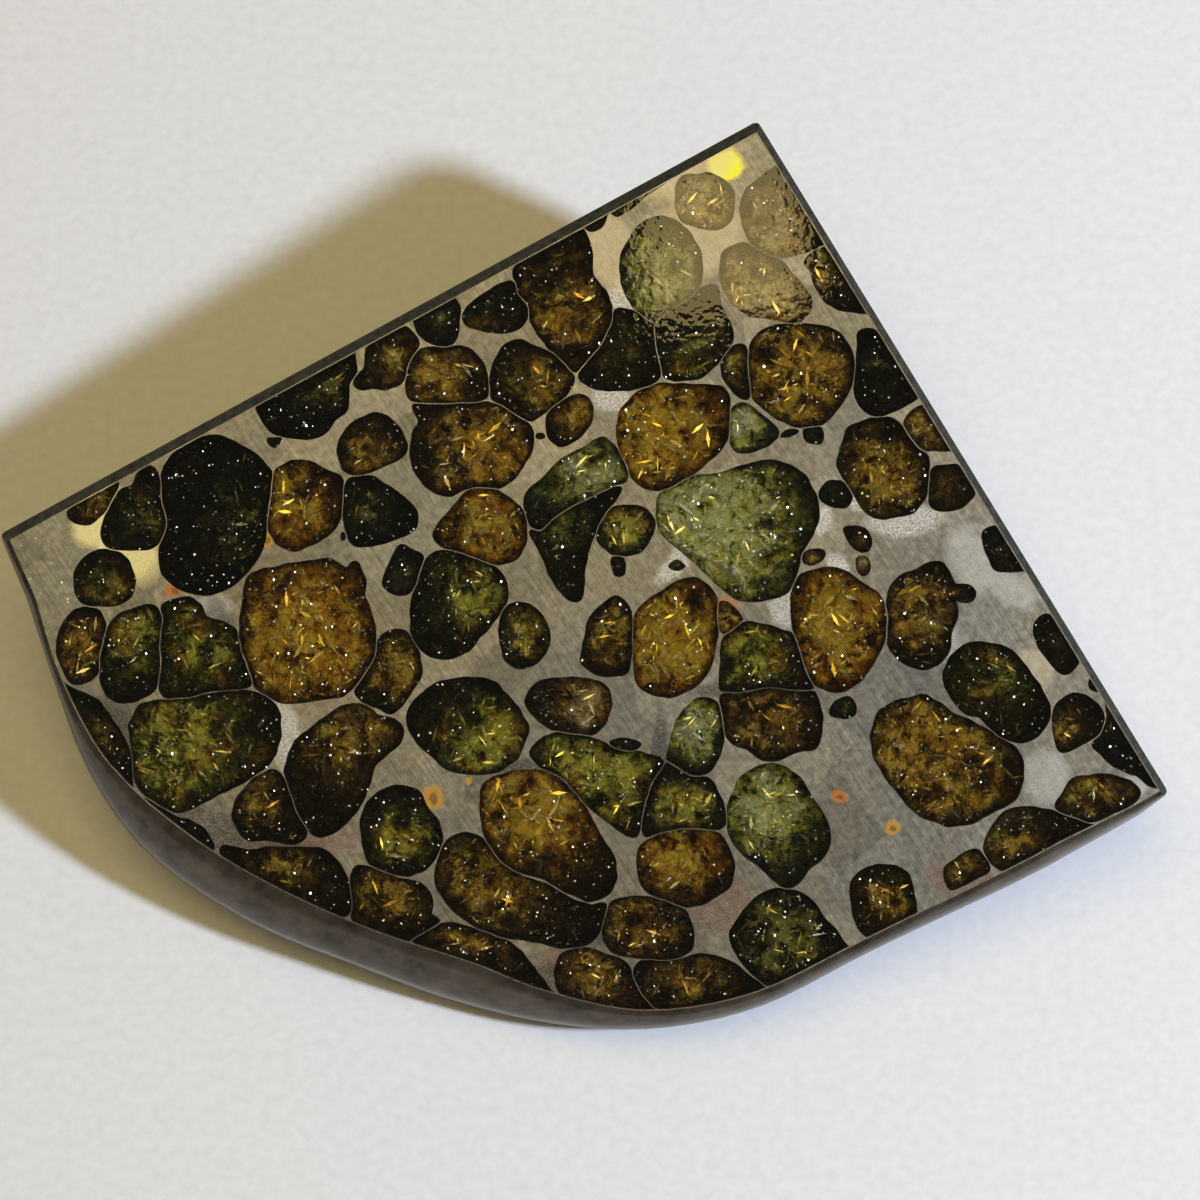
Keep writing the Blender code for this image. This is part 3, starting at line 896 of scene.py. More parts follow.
def new_material(name):
    """An empty node material with its output and shader, and two short helpers to add and join nodes."""
    material = bpy.data.materials.new(name)
    material.use_nodes = True
    tree = material.node_tree
    shader = tree.nodes["Principled BSDF"]
    output = tree.nodes["Material Output"]

    def add(kind, **values):
        node = tree.nodes.new(kind)
        for key, value in values.items():
            if hasattr(node, key):
                setattr(node, key, value)
            else:
                node.inputs[key.replace("_", " ")].default_value = value
        return node

    return material, tree, shader, output, add, tree.links.new


def olivine_material(family):
    colour, density = ABSORPTION[family]
    material, tree, shader, output, add, join = new_material("olivine_" + family)
    shader.inputs["Base Color"].default_value = (1.0, 1.0, 1.0, 1.0)
    shader.inputs["Transmission Weight"].default_value = 1.0
    shader.inputs["IOR"].default_value = OLIVINE_IOR
    shader.inputs["Roughness"].default_value = OLIVINE_ROUGHNESS
    place = add("ShaderNodeTexCoord")
    waves = add("ShaderNodeTexNoise", Scale=1400.0, Detail=1.0)
    bump = add("ShaderNodeBump", Strength=0.06, Distance=0.0001)
    join(place.outputs["Object"], waves.inputs["Vector"])
    join(waves.outputs["Fac"], bump.inputs["Height"])
    join(bump.outputs["Normal"], shader.inputs["Normal"])
    absorb = add("ShaderNodeVolumeAbsorption")
    absorb.inputs["Color"].default_value = (*colour, 1.0)
    absorb.inputs["Density"].default_value = density
    join(absorb.outputs["Volume"], output.inputs["Volume"])
    return material


def fill_pockets(mesh, rings, plane, areas, kinds, deepest):
    """One clear prism in each pocket, from just under the polish down to below its bed."""
    for ring, area, kind in zip(rings, areas, kinds):
        add_prism(mesh, grown(ring, GLASS_OVERLAP), plane, -POLISH_DROP,
                  -min(deepest, pocket_depth(area)) - 0.05, FAMILIES.index(kind))


olivine_shades = {family: olivine_material(family) for family in FAMILIES}
olivine_mesh = bmesh.new()
fill_pockets(olivine_mesh, grain_rings, FACE_PLANE, grain_areas, grain_kinds, DEEPEST)
for side in sides:
    fill_pockets(olivine_mesh, side.rings, side.plane, side.areas, side.kinds, SIDE_DEPTH)
olivine = new_object("olivine_crystals", olivine_mesh, [olivine_shades[family] for family in FAMILIES])
print("olivine faces:", len(olivine.data.polygons))

# %% [markdown]
# ## What the crystals show inside
#
# The bed's colour is painted light: it follows how strongly each place is lit. A ramp for each kind
# of olivine goes from nearly black through its body colour to its brightest gold. Facets differ a little
# from each other, dark healed cracks run between them, and small white and gold specks are flaws that catch
# the light.

# %% Colour ramps for the beds
NEIGHBOUR_COLOUR = {"black": "green", "brown": "green", "amber": "brown", "green": "amber", "lime": "green",
                    "tan": "amber"}
ZONE_MM = 3.2
CLOUD_MM = 1.4
PLATE_MM = 0.75
CRACK_MM = 2.4
FIBRE_LONG_MM = 2.2
FIBRE_FINE_MM = 0.34


def object_millimetres(add, join):
    """The object's own coordinates, in millimetres."""
    place = add("ShaderNodeTexCoord")
    scale = add("ShaderNodeMapping")
    scale.inputs["Scale"].default_value = (1.0 / MM, 1.0 / MM, 1.0 / MM)
    join(place.outputs["Object"], scale.inputs["Vector"])
    return scale.outputs["Vector"]


def ramp_of(add, *stops):
    """A colour ramp from (place, colour) pairs."""
    ramp = add("ShaderNodeValToRGB")
    elements = ramp.color_ramp.elements
    elements[0].position, elements[0].color = stops[0][0], (*stops[0][1], 1.0)
    elements[1].position, elements[1].color = stops[-1][0], (*stops[-1][1], 1.0)
    for place, colour in stops[1:-1]:
        elements.new(place).color = (*colour, 1.0)
    return ramp


def remapped(add, join, value, low, high, new_low, new_high):
    """A value moved from one range to another and held inside it."""
    node = add("ShaderNodeMapRange")
    for key, number in (("From Min", low), ("From Max", high), ("To Min", new_low), ("To Max", new_high)):
        node.inputs[key].default_value = number
    join(value, node.inputs["Value"])
    return node.outputs["Result"]


def product(add, join, first, *others):
    """Several values multiplied together."""
    for other in others:
        node = add("ShaderNodeMath", operation="MULTIPLY")
        join(first, node.inputs[0])
        join(other, node.inputs[1])
        first = node.outputs["Value"]
    return first


def random_cells(add, join, vector, size):
    """A random value for each cell of a broken-up pattern, and how far a point is from the cell's middle."""
    cells = add("ShaderNodeTexVoronoi", Scale=1.0 / size)
    join(vector, cells.inputs["Vector"])
    split = add("ShaderNodeSeparateColor")
    join(cells.outputs["Color"], split.inputs["Color"])
    return split, cells.outputs["Distance"]


def stretched(add, join, vector, along, across):
    """The same vector with a pattern made long one way and fine the other."""
    scale = add("ShaderNodeMapping")
    scale.inputs["Scale"].default_value = (1.0 / along, 1.0 / across, 1.0 / across)
    join(vector, scale.inputs["Vector"])
    return scale.outputs["Vector"]


def bed_material(family):
    dark, body, bright = BED_COLOURS[family]
    material, tree, shader, output, add, join = new_material("crystal_inside_" + family)
    flat = object_millimetres(add, join)
    wander = add("ShaderNodeTexNoise", Scale=1.6, Detail=2.0)
    join(flat, wander.inputs["Vector"])
    bent = add("ShaderNodeVectorMath", operation="MULTIPLY_ADD")
    bent.inputs[1].default_value = (0.9, 0.9, 0.9)
    join(wander.outputs["Color"], bent.inputs[0])
    join(flat, bent.inputs[2])
    bent = bent.outputs["Vector"]
    # The colour below is painted light: the ramp from dark to bright follows the painted lit value.
    lit = add("ShaderNodeAttribute", attribute_name="lit").outputs["Fac"]
    chance = add("ShaderNodeAttribute", attribute_name="chance").outputs["Fac"]
    clouds = add("ShaderNodeTexNoise", Scale=1.0 / CLOUD_MM, Detail=4.0, Roughness=0.62, Distortion=0.6)
    join(flat, clouds.inputs["Vector"])
    cloud = remapped(add, join, clouds.outputs["Fac"], 0.38, 0.64, 0.06, 2.0)
    plates, middle = random_cells(add, join, bent, PLATE_MM)
    plate = remapped(add, join, plates.outputs["Red"], 0.0, 1.0, 0.6, 1.4)
    facet = remapped(add, join, chance, 0.0, 1.0, 0.75, 1.25)
    shaded = product(add, join, lit, cloud, plate, facet)
    own_way = add("ShaderNodeVectorRotate", rotation_type="Z_AXIS")
    join(bent, own_way.inputs["Vector"])
    join(add("ShaderNodeAttribute", attribute_name="turn").outputs["Fac"], own_way.inputs["Angle"])
    fibres = add("ShaderNodeTexNoise", Scale=1.0, Detail=3.0, Roughness=0.65, Distortion=0.8)
    join(stretched(add, join, own_way.outputs["Vector"], FIBRE_LONG_MM, FIBRE_FINE_MM), fibres.inputs["Vector"])
    streak = product(add, join, remapped(add, join, fibres.outputs["Fac"], 0.55, 0.64, 0.0, 1.3), lit)
    summed = add("ShaderNodeMath", operation="ADD")
    join(shaded, summed.inputs[0])
    join(streak, summed.inputs[1])
    level = summed.outputs["Value"]
    ramp = ramp_of(add, (0.0, dark), (0.34, body), (1.0, bright))
    join(level, ramp.inputs["Fac"])
    other_dark, other_body, other_bright = BED_COLOURS[NEIGHBOUR_COLOUR[family]]
    other = ramp_of(add, (0.0, other_dark), (0.34, other_body), (1.0, other_bright))
    join(level, other.inputs["Fac"])
    zones = add("ShaderNodeTexNoise", Scale=1.0 / ZONE_MM, Detail=3.0)
    join(flat, zones.inputs["Vector"])
    zoned = add("ShaderNodeMix", data_type="RGBA")
    join(remapped(add, join, zones.outputs["Fac"], 0.50, 0.62, 0.0, 0.7), zoned.inputs["Factor"])
    join(ramp.outputs["Color"], zoned.inputs["A"])
    join(other.outputs["Color"], zoned.inputs["B"])
    cracks = add("ShaderNodeTexVoronoi", feature="DISTANCE_TO_EDGE", Scale=1.0 / CRACK_MM)
    join(bent, cracks.inputs["Vector"])
    lined = add("ShaderNodeMix", data_type="RGBA", blend_type="MULTIPLY")
    lined.inputs["Factor"].default_value = 1.0
    join(zoned.outputs["Result"], lined.inputs["A"])
    join(remapped(add, join, cracks.outputs["Distance"], 0.0, 0.05, 0.45, 1.0), lined.inputs["B"])
    join(lined.outputs["Result"], shader.inputs["Base Color"])
    crumple = add("ShaderNodeBump", Strength=0.9, Distance=0.00025)
    join(fibres.outputs["Fac"], crumple.inputs["Height"])
    join(crumple.outputs["Normal"], shader.inputs["Normal"])
    shader.inputs["Roughness"].default_value = 0.30
    shader.inputs["Metallic"].default_value = 0.6
    return material


crystal_beds = beds.finished("crystal_insides", [bed_material(family) for family in FAMILIES])
print("triangles in the beds:", sum(len(face.vertices) - 2 for face in crystal_beds.data.polygons))

# %% [markdown]
# ## Plates and specks inside the crystals
#
# Healed cracks inside olivine are thin flat plates that flash when they face the light, and between them hang
# tiny bubbles. Both repeat thousands of times, so Geometry Nodes scatter them over the beds: a point on the bed,
# lifted by a random share of the room under the polish, carries one small plate turned at random.

# %% Scatter plates with Geometry Nodes
def scatter_tree():
    """A node tree that scatters small closed plates through the room above a bed."""
    tree = bpy.data.node_groups.new("scatter_plates", "GeometryNodeTree")
    tree.interface.new_socket("Geometry", in_out="INPUT", socket_type="NodeSocketGeometry")
    for name, value in (("Plates per Square Metre", 1e6), ("Smallest", 0.0001), ("Largest", 0.001),
                        ("Thickness", 0.00002), ("Slimmest", 0.12), ("Widest", 0.75), ("Tilt", 0.6),
                        ("Lowest Lift", 0.1), ("Highest Lift", 0.8), ("Poke Through", -0.00004)):
        socket = tree.interface.new_socket(name, in_out="INPUT", socket_type="NodeSocketFloat")
        socket.default_value = value
    tree.interface.new_socket("Lean", in_out="INPUT", socket_type="NodeSocketVector")
    tree.interface.new_socket("Sides", in_out="INPUT", socket_type="NodeSocketInt").default_value = 5
    tree.interface.new_socket("Seed", in_out="INPUT", socket_type="NodeSocketInt").default_value = 1
    tree.interface.new_socket("Finish", in_out="INPUT", socket_type="NodeSocketMaterial")
    tree.interface.new_socket("Geometry", in_out="OUTPUT", socket_type="NodeSocketGeometry")
    given = tree.nodes.new("NodeGroupInput").outputs
    result = tree.nodes.new("NodeGroupOutput")
    join = tree.links.new

    def attribute(name, kind="FLOAT"):
        node = tree.nodes.new("GeometryNodeInputNamedAttribute")
        node.data_type = kind
        node.inputs["Name"].default_value = name
        return node.outputs["Attribute"]

    def sum_of(operation, first, second):
        node = tree.nodes.new("ShaderNodeMath")
        node.operation = operation
        for socket, value in zip(node.inputs, (first, second)):
            if isinstance(value, (int, float)):
                socket.default_value = value
            else:
                join(value, socket)
        return node.outputs["Value"]

    def chance(low, high, step):
        node = tree.nodes.new("FunctionNodeRandomValue")
        floats = [socket for socket in node.inputs if socket.type == "VALUE"]
        for socket, value in zip(floats, (low, high)):
            if isinstance(value, (int, float)):
                socket.default_value = value
            else:
                join(value, socket)
        join(sum_of("ADD", given["Seed"], step), node.inputs["Seed"])
        return next(socket for socket in node.outputs if socket.type == "VALUE")

    scatter = tree.nodes.new("GeometryNodeDistributePointsOnFaces")
    join(given["Geometry"], scatter.inputs["Mesh"])
    join(given["Plates per Square Metre"], scatter.inputs["Density"])
    join(given["Seed"], scatter.inputs["Seed"])
    roomy = sum_of("GREATER_THAN", attribute("room"), 0.00025)
    join(roomy, scatter.inputs["Selection"])

    lift = tree.nodes.new("ShaderNodeVectorMath")
    lift.operation = "SCALE"
    join(attribute("outward", "FLOAT_VECTOR"), lift.inputs[0])
    share = chance(given["Lowest Lift"], given["Highest Lift"], 11)
    height = sum_of("MULTIPLY", attribute("depth"), share)
    join(height, lift.inputs["Scale"])
    raised = tree.nodes.new("GeometryNodeSetPosition")
    join(scatter.outputs["Points"], raised.inputs["Geometry"])
    join(lift.outputs["Vector"], raised.inputs["Offset"])

    size = sum_of("POWER", chance(0.0, 1.0, 23), 2.2)
    size = sum_of("MULTIPLY", size, sum_of("SUBTRACT", given["Largest"], given["Smallest"]))
    size = sum_of("ADD", size, given["Smallest"])
    size = sum_of("MINIMUM", size, sum_of("MULTIPLY", attribute("room"), 0.8))
    below = sum_of("SUBTRACT", attribute("depth"), height)
    size = sum_of("MINIMUM", size, sum_of("MULTIPLY", sum_of("ADD", below, given["Poke Through"]), 1.6))
    size = sum_of("MAXIMUM", size, 0.00003)

    plate = tree.nodes.new("GeometryNodeMeshCylinder")
    join(given["Sides"], plate.inputs["Vertices"])
    plate.inputs["Radius"].default_value = 1.0
    plate.inputs["Depth"].default_value = 1.0

    lean = tree.nodes.new("ShaderNodeVectorMath")
    lean.operation = "ADD"
    join(attribute("outward", "FLOAT_VECTOR"), lean.inputs[0])
    join(given["Lean"], lean.inputs[1])
    aim = tree.nodes.new("FunctionNodeAlignRotationToVector")
    aim.axis = "Z"
    join(lean.outputs["Vector"], aim.inputs["Vector"])
    turn = tree.nodes.new("ShaderNodeCombineXYZ")
    down = sum_of("MULTIPLY", given["Tilt"], -1.0)
    join(chance(down, given["Tilt"], 31), turn.inputs["X"])
    join(chance(down, given["Tilt"], 37), turn.inputs["Y"])
    join(chance(0.0, 2.0 * math.pi, 41), turn.inputs["Z"])
    spin = tree.nodes.new("FunctionNodeEulerToRotation")
    join(turn.outputs["Vector"], spin.inputs["Euler"])
    rotated = tree.nodes.new("FunctionNodeRotateRotation")
    rotated.rotation_space = "LOCAL"
    join(aim.outputs["Rotation"], rotated.inputs["Rotation"])
    join(spin.outputs["Rotation"], rotated.inputs["Rotate By"])

    scale = tree.nodes.new("ShaderNodeCombineXYZ")
    join(size, scale.inputs["X"])
    join(sum_of("MULTIPLY", size, chance(given["Slimmest"], given["Widest"], 47)), scale.inputs["Y"])
    join(given["Thickness"], scale.inputs["Z"])

    placed = tree.nodes.new("GeometryNodeInstanceOnPoints")
    join(raised.outputs["Geometry"], placed.inputs["Points"])
    join(plate.outputs["Mesh"], placed.inputs["Instance"])
    join(rotated.outputs["Rotation"], placed.inputs["Rotation"])
    join(scale.outputs["Vector"], placed.inputs["Scale"])
    toned = tree.nodes.new("GeometryNodeStoreNamedAttribute")
    toned.data_type, toned.domain = "FLOAT", "INSTANCE"
    toned.inputs["Name"].default_value = "tone"
    join(placed.outputs["Instances"], toned.inputs["Geometry"])
    join(chance(0.0, 1.0, 53), toned.inputs["Value"])
    real = tree.nodes.new("GeometryNodeRealizeInstances")
    join(toned.outputs["Geometry"], real.inputs["Geometry"])
    finish = tree.nodes.new("GeometryNodeSetMaterial")
    join(real.outputs["Geometry"], finish.inputs["Geometry"])
    join(given["Finish"], finish.inputs["Material"])
    join(finish.outputs["Geometry"], result.inputs["Geometry"])
    return tree


def plate_material(name, least, gain, pale_from, pale, roughness, metallic):
    """Thin flaws in the crystal's own bright colour, painted brighter where the bed is lit; some far paler."""
    material, tree, shader, output, add, join = new_material(name)
    lit = add("ShaderNodeAttribute", attribute_name="lit").outputs["Fac"]
    tone = add("ShaderNodeAttribute", attribute_name="tone").outputs["Fac"]
    glint = add("ShaderNodeAttribute", attribute_name="glint").outputs["Color"]
    flat = object_millimetres(add, join)
    mottle = add("ShaderNodeTexNoise", Scale=5.0, Detail=4.0)
    join(flat, mottle.inputs["Vector"])
    level = remapped(add, join, product(add, join, lit, lit, remapped(add, join, tone, 0.0, 1.0, 0.2, gain),
                                        remapped(add, join, mottle.outputs["Fac"], 0.3, 0.7, 0.5, 1.5)),
                     0.0, 1.0, least, 1.0)
    tinted = add("ShaderNodeMix", data_type="RGBA")
    tinted.inputs["B"].default_value = (1.0, 0.95, 0.85, 1.0)
    join(glint, tinted.inputs["A"])
    join(remapped(add, join, tone, pale_from, 1.0, 0.0, pale), tinted.inputs["Factor"])
    coloured = add("ShaderNodeMix", data_type="RGBA", blend_type="MULTIPLY")
    coloured.inputs["Factor"].default_value = 1.0
    join(tinted.outputs["Result"], coloured.inputs["A"])
    join(level, coloured.inputs["B"])
    join(coloured.outputs["Result"], shader.inputs["Base Color"])
    shader.inputs["Roughness"].default_value = roughness
    shader.inputs["Metallic"].default_value = metallic
    return material


def scatter_over(bed, name, tree, finish, **values):
    """Runs the scatter tree on a copy of the beds and returns the plates as a plain mesh."""
    piece = bpy.data.objects.new(name, bed.data.copy())
    bpy.context.scene.collection.objects.link(piece)
    modifier = piece.modifiers.new("scatter", "NODES")
    modifier.node_group = tree
    sockets = {item.name: item.identifier for item in tree.interface.items_tree if item.in_out == "INPUT"}
    modifier[sockets["Finish"]] = finish
    for key, value in values.items():
        modifier[sockets[key.replace("_", " ")]] = value
    as_plain_mesh(piece)
    return piece


plates_tree = scatter_tree()
plates = scatter_over(crystal_beds, "crack_plates", plates_tree,
                      plate_material("crack_plate", 0.03, 4.2, 0.5, 0.8, 0.24, 0.9),
                      **{"Plates per Square Metre": 1.9e6, "Smallest": 0.00008, "Largest": 0.0010,
                         "Slimmest": 0.05, "Widest": 0.26, "Tilt": 0.28, "Lean": (-0.05, 0.16, 0.0), "Sides": 4,
                         "Seed": 4})
specks = scatter_over(crystal_beds, "polish_chips", plates_tree,
                      plate_material("polish_chip", 0.85, 9.0, -0.5, 1.0, 0.32, 0.9),
                      **{"Plates per Square Metre": 7.5e5, "Smallest": 0.00003, "Largest": 0.00015,
                         "Slimmest": 0.4, "Widest": 1.0, "Thickness": 0.00003, "Tilt": 0.4,
                         "Lowest Lift": 0.985, "Highest Lift": 1.0, "Poke Through": 0.001,
                         "Lean": (0.42, 0.10, 0.0), "Sides": 5, "Seed": 9})
print("plates and specks, faces:", len(plates.data.polygons), len(specks.data.polygons))

# %% [markdown]
# ## The polished metal
#
# Ground nickel-iron is a warm grey with a satin shine. The last grinding went one way, steeply down to the
# right, and its fine lines stretch every highlight across them. A pattern that follows those lines needs the
# face's own millimetres, so a Mapping node turns the object's coordinates into that frame.

# %% Metal finishes
LINE_ANGLE = math.radians(-57.0)


def face_millimetres(add, join, turn=0.0):
    """Object coordinates turned into the face's frame, in millimetres, then turned in its plane."""
    place = add("ShaderNodeTexCoord")
    frame_map = add("ShaderNodeMapping", vector_type="TEXTURE")
    frame_map.inputs["Location"].default_value = FACE_ORIGIN
    frame_map.inputs["Rotation"].default_value = (FACE_TILT, 0.0, 0.0)
    frame_map.inputs["Scale"].default_value = (MM, MM, MM)
    join(place.outputs["Object"], frame_map.inputs["Vector"])
    if not turn:
        return frame_map.outputs["Vector"]
    turned = add("ShaderNodeMapping", vector_type="TEXTURE")
    turned.inputs["Rotation"].default_value = (0.0, 0.0, turn)
    join(frame_map.outputs["Vector"], turned.inputs["Vector"])
    return turned.outputs["Vector"]


FRAY_MM = 1.6
METAL_GRAIN_MM = 8.0
# Patches on the metal: tint, share, grain and ovals (x, y, wide, high, turn); stains, rust, other metal, and
# painted reflections.
METAL_PATCHES = (
    ((0.95, 0.93, 0.88), 0.75, 0.9, ((612, 398, 20, 14, 0.0), (624, 297, 18, 16, 0.5), (786, 608, 16, 20, 0.0),
                                     (905, 520, 38, 16, 0.1), (820, 520, 12, 14, 0.0), (859, 500, 10, 12, 0.0),
                                     (678, 560, 10, 32, -0.7), (838, 568, 12, 14, 0.0),
                                     (285, 735, 16, 36, 0.2), (215, 606, 18, 14, 0.0))),
    # Painted reflection: a bright brass sheen near the left corner and along the upper left edge.
    ((1.00, 0.86, 0.36), 0.95, 0.3, ((122, 535, 30, 52, 0.5), (175, 430, 70, 16, 0.5), (96, 525, 24, 20, 0.5))),
    # Painted highlight: the saturated yellow hot spot where the face mirrors a warm lamp.
    ((1.00, 0.92, 0.06), 1.00, 0.0, ((726, 166, 17, 15, 0.3),)),
    # Painted reflection: the golden sheen round the top corner.
    ((0.80, 0.66, 0.36), 0.60, 0.4, ((690, 170, 50, 24, 0.5), (610, 250, 26, 40, 0.4), (690, 240, 60, 40, 0.4))),
    ((0.20, 0.085, 0.035), 0.85, 0.8, ((968, 884, 44, 20, -0.3), (670, 1002, 74, 18, 0.0),
                                       (385, 880, 20, 14, 0.0), (300, 850, 60, 14, 0.2), (560, 960, 20, 18, 0.0),
                                       (120, 790, 26, 12, 0.5), (722, 905, 34, 30, 0.0))),
    ((0.62, 0.60, 0.54), 0.70, 0.5, ((1046, 776, 24, 26, 0.0), (1012, 588, 30, 16, -0.6), (970, 560, 22, 36, 0.4),
                                     (1136, 786, 12, 12, 0.0), (940, 640, 20, 22, 0.0))),
    ((0.72, 0.60, 0.36), 0.60, 0.4, ((1034, 668, 22, 20, 0.3), (935, 585, 16, 12, 0.0))),
    ((0.62, 0.30, 0.010), 0.95, 0.2, ((267, 539, 7, 7, 0.0), (433, 797, 10, 12, 0.4), (893, 828, 8, 7, 0.0),
                                     (469, 782, 4, 4, 0.0))),
    ((0.58, 0.17, 0.010), 0.95, 0.2, ((840, 797, 9, 8, 0.0), (172, 590, 9, 6, 0.3), (727, 612, 12, 14, 0.0))),
    ((0.16, 0.07, 0.02), 0.80, 0.2, ((268, 540, 3, 3, 0.0), (434, 799, 4, 5, 0.0), (894, 829, 3, 3, 0.0),
                                     (841, 798, 4, 3, 0.0), (174, 591, 4, 3, 0.0), (728, 615, 5, 6, 0.0))),
    ((0.045, 0.034, 0.018), 0.94, 0.55, ((150, 762, 90, 24, -0.85), (300, 880, 130, 34, -0.55),
                                        (470, 965, 130, 30, -0.30), (225, 655, 22, 60, 0.2),
                                        (620, 930, 80, 16, 0.0), (545, 778, 60, 13, -0.3),
                                        (745, 690, 60, 9, 0.0), (660, 760, 9, 50, 0.0))),
)


def patch(add, join, vector, x, y, wide, high, turn):
    """1 inside an oval on the face, 0 outside it. Its place and half sizes are read off the drawing sheet."""
    place = from_sheet(x, y)
    oval = add("ShaderNodeMapping", vector_type="TEXTURE")
    oval.inputs["Location"].default_value = (place[0] + FRAY_MM / 2.0, place[1] + FRAY_MM / 2.0, 0.0)
    oval.inputs["Rotation"].default_value = (0.0, 0.0, turn)
    oval.inputs["Scale"].default_value = (wide / 10.0, high / 10.0, 4.0)
    join(vector, oval.inputs["Vector"])
    away = add("ShaderNodeVectorMath", operation="LENGTH")
    join(oval.outputs["Vector"], away.inputs[0])
    return remapped(add, join, away.outputs["Value"], 1.2, 0.8, 0.0, 1.0)


def most_of(add, join, values):
    """The largest of several values."""
    most = values[0]
    for value in values[1:]:
        node = add("ShaderNodeMath", operation="MAXIMUM")
        join(most, node.inputs[0])
        join(value, node.inputs[1])
        most = node.outputs["Value"]
    return most


def polished_metal():
    material, tree, shader, output, add, join = new_material("ground_nickel_iron")
    flat = face_millimetres(add, join)
    lines = face_millimetres(add, join, LINE_ANGLE)
    broad = add("ShaderNodeTexNoise", Scale=0.045, Detail=3.0, Roughness=0.55)
    join(flat, broad.inputs["Vector"])
    base = ramp_of(add, (0.30, (0.56, 0.50, 0.36)), (0.50, (0.49, 0.46, 0.37)), (0.68, (0.43, 0.43, 0.385)))
    join(broad.outputs["Fac"], base.inputs["Fac"])
    mottle = add("ShaderNodeTexNoise", Scale=1.3, Detail=5.0, Roughness=0.7)
    join(flat, mottle.inputs["Vector"])
    shade = ramp_of(add, (0.30, (0.55, 0.55, 0.55)), (0.70, (1.15, 1.15, 1.15)))
    join(mottle.outputs["Fac"], shade.inputs["Fac"])
    mixed = add("ShaderNodeMix", data_type="RGBA", blend_type="MULTIPLY")
    mixed.inputs["Factor"].default_value = 1.0
    join(base.outputs["Color"], mixed.inputs["A"])
    join(shade.outputs["Color"], mixed.inputs["B"])
    grooves = add("ShaderNodeTexNoise", Scale=1.0, Detail=4.0, Roughness=0.6)
    join(stretched(add, join, lines, 7.0, 0.15), grooves.inputs["Vector"])
    streak = ramp_of(add, (0.36, (0.74, 0.74, 0.74)), (0.64, (1.18, 1.18, 1.18)))
    join(grooves.outputs["Fac"], streak.inputs["Fac"])
    lined = add("ShaderNodeMix", data_type="RGBA", blend_type="MULTIPLY")
    lined.inputs["Factor"].default_value = 1.0
    join(mixed.outputs["Result"], lined.inputs["A"])
    join(streak.outputs["Color"], lined.inputs["B"])
    wander = add("ShaderNodeTexNoise", Scale=0.6, Detail=5.0, Roughness=0.65)
    join(flat, wander.inputs["Vector"])
    frayed = add("ShaderNodeVectorMath", operation="MULTIPLY_ADD")
    frayed.inputs[1].default_value = (FRAY_MM, FRAY_MM, 0.0)
    join(wander.outputs["Color"], frayed.inputs[0])
    join(flat, frayed.inputs[2])
    grit = add("ShaderNodeTexNoise", Scale=4.5, Detail=3.0, Roughness=0.8)
    join(flat, grit.inputs["Vector"])
    plates = add("ShaderNodeTexVoronoi", Scale=1.0 / METAL_GRAIN_MM)
    join(frayed.outputs["Vector"], plates.inputs["Vector"])
    tone = add("ShaderNodeSeparateColor")
    join(plates.outputs["Color"], tone.inputs["Color"])
    zoned = add("ShaderNodeMix", data_type="RGBA", blend_type="MULTIPLY")
    zoned.inputs["Factor"].default_value = 1.0
    join(lined.outputs["Result"], zoned.inputs["A"])
    join(remapped(add, join, tone.outputs["Red"], 0.0, 1.0, 0.74, 1.12), zoned.inputs["B"])
    colour = zoned.outputs["Result"]
    stain_and_sheen_cover = None
    # Each row is mixed over the colour: stains and other metal, and the painted reflections near the corners.
    for tint, share, grain, spots in METAL_PATCHES:
        mask = most_of(add, join, [patch(add, join, frayed.outputs["Vector"], *spot) for spot in spots])
        speckle = remapped(add, join, grit.outputs["Fac"], 0.42, 0.58, share * (1.0 - grain), share)
        cover = product(add, join, mask, speckle)
        mixed = add("ShaderNodeMix", data_type="RGBA")
        mixed.inputs["B"].default_value = (*tint, 1.0)
        join(cover, mixed.inputs["Factor"])
        join(colour, mixed.inputs["A"])
        colour = mixed.outputs["Result"]
        stain_and_sheen_cover = cover if stain_and_sheen_cover is None else most_of(add, join, [stain_and_sheen_cover, cover])
    join(colour, shader.inputs["Base Color"])
    rough = add("ShaderNodeMapRange")
    rough.inputs["To Min"].default_value = 0.30
    rough.inputs["To Max"].default_value = 0.48
    join(mottle.outputs["Fac"], rough.inputs["Value"])
    join(rough.outputs["Result"], shader.inputs["Roughness"])
    bump = add("ShaderNodeBump", Strength=0.25, Distance=0.00002)
    join(grooves.outputs["Fac"], bump.inputs["Height"])
    join(bump.outputs["Normal"], shader.inputs["Normal"])
    # Under the patches the metal is less metallic, so stains and the painted reflections show in the colour.
    join(remapped(add, join, stain_and_sheen_cover, 0.0, 1.0, 0.9, 0.25), shader.inputs["Metallic"])
    shader.inputs["Coat Weight"].default_value = 0.25
    shader.inputs["Coat Roughness"].default_value = 0.08
    return material


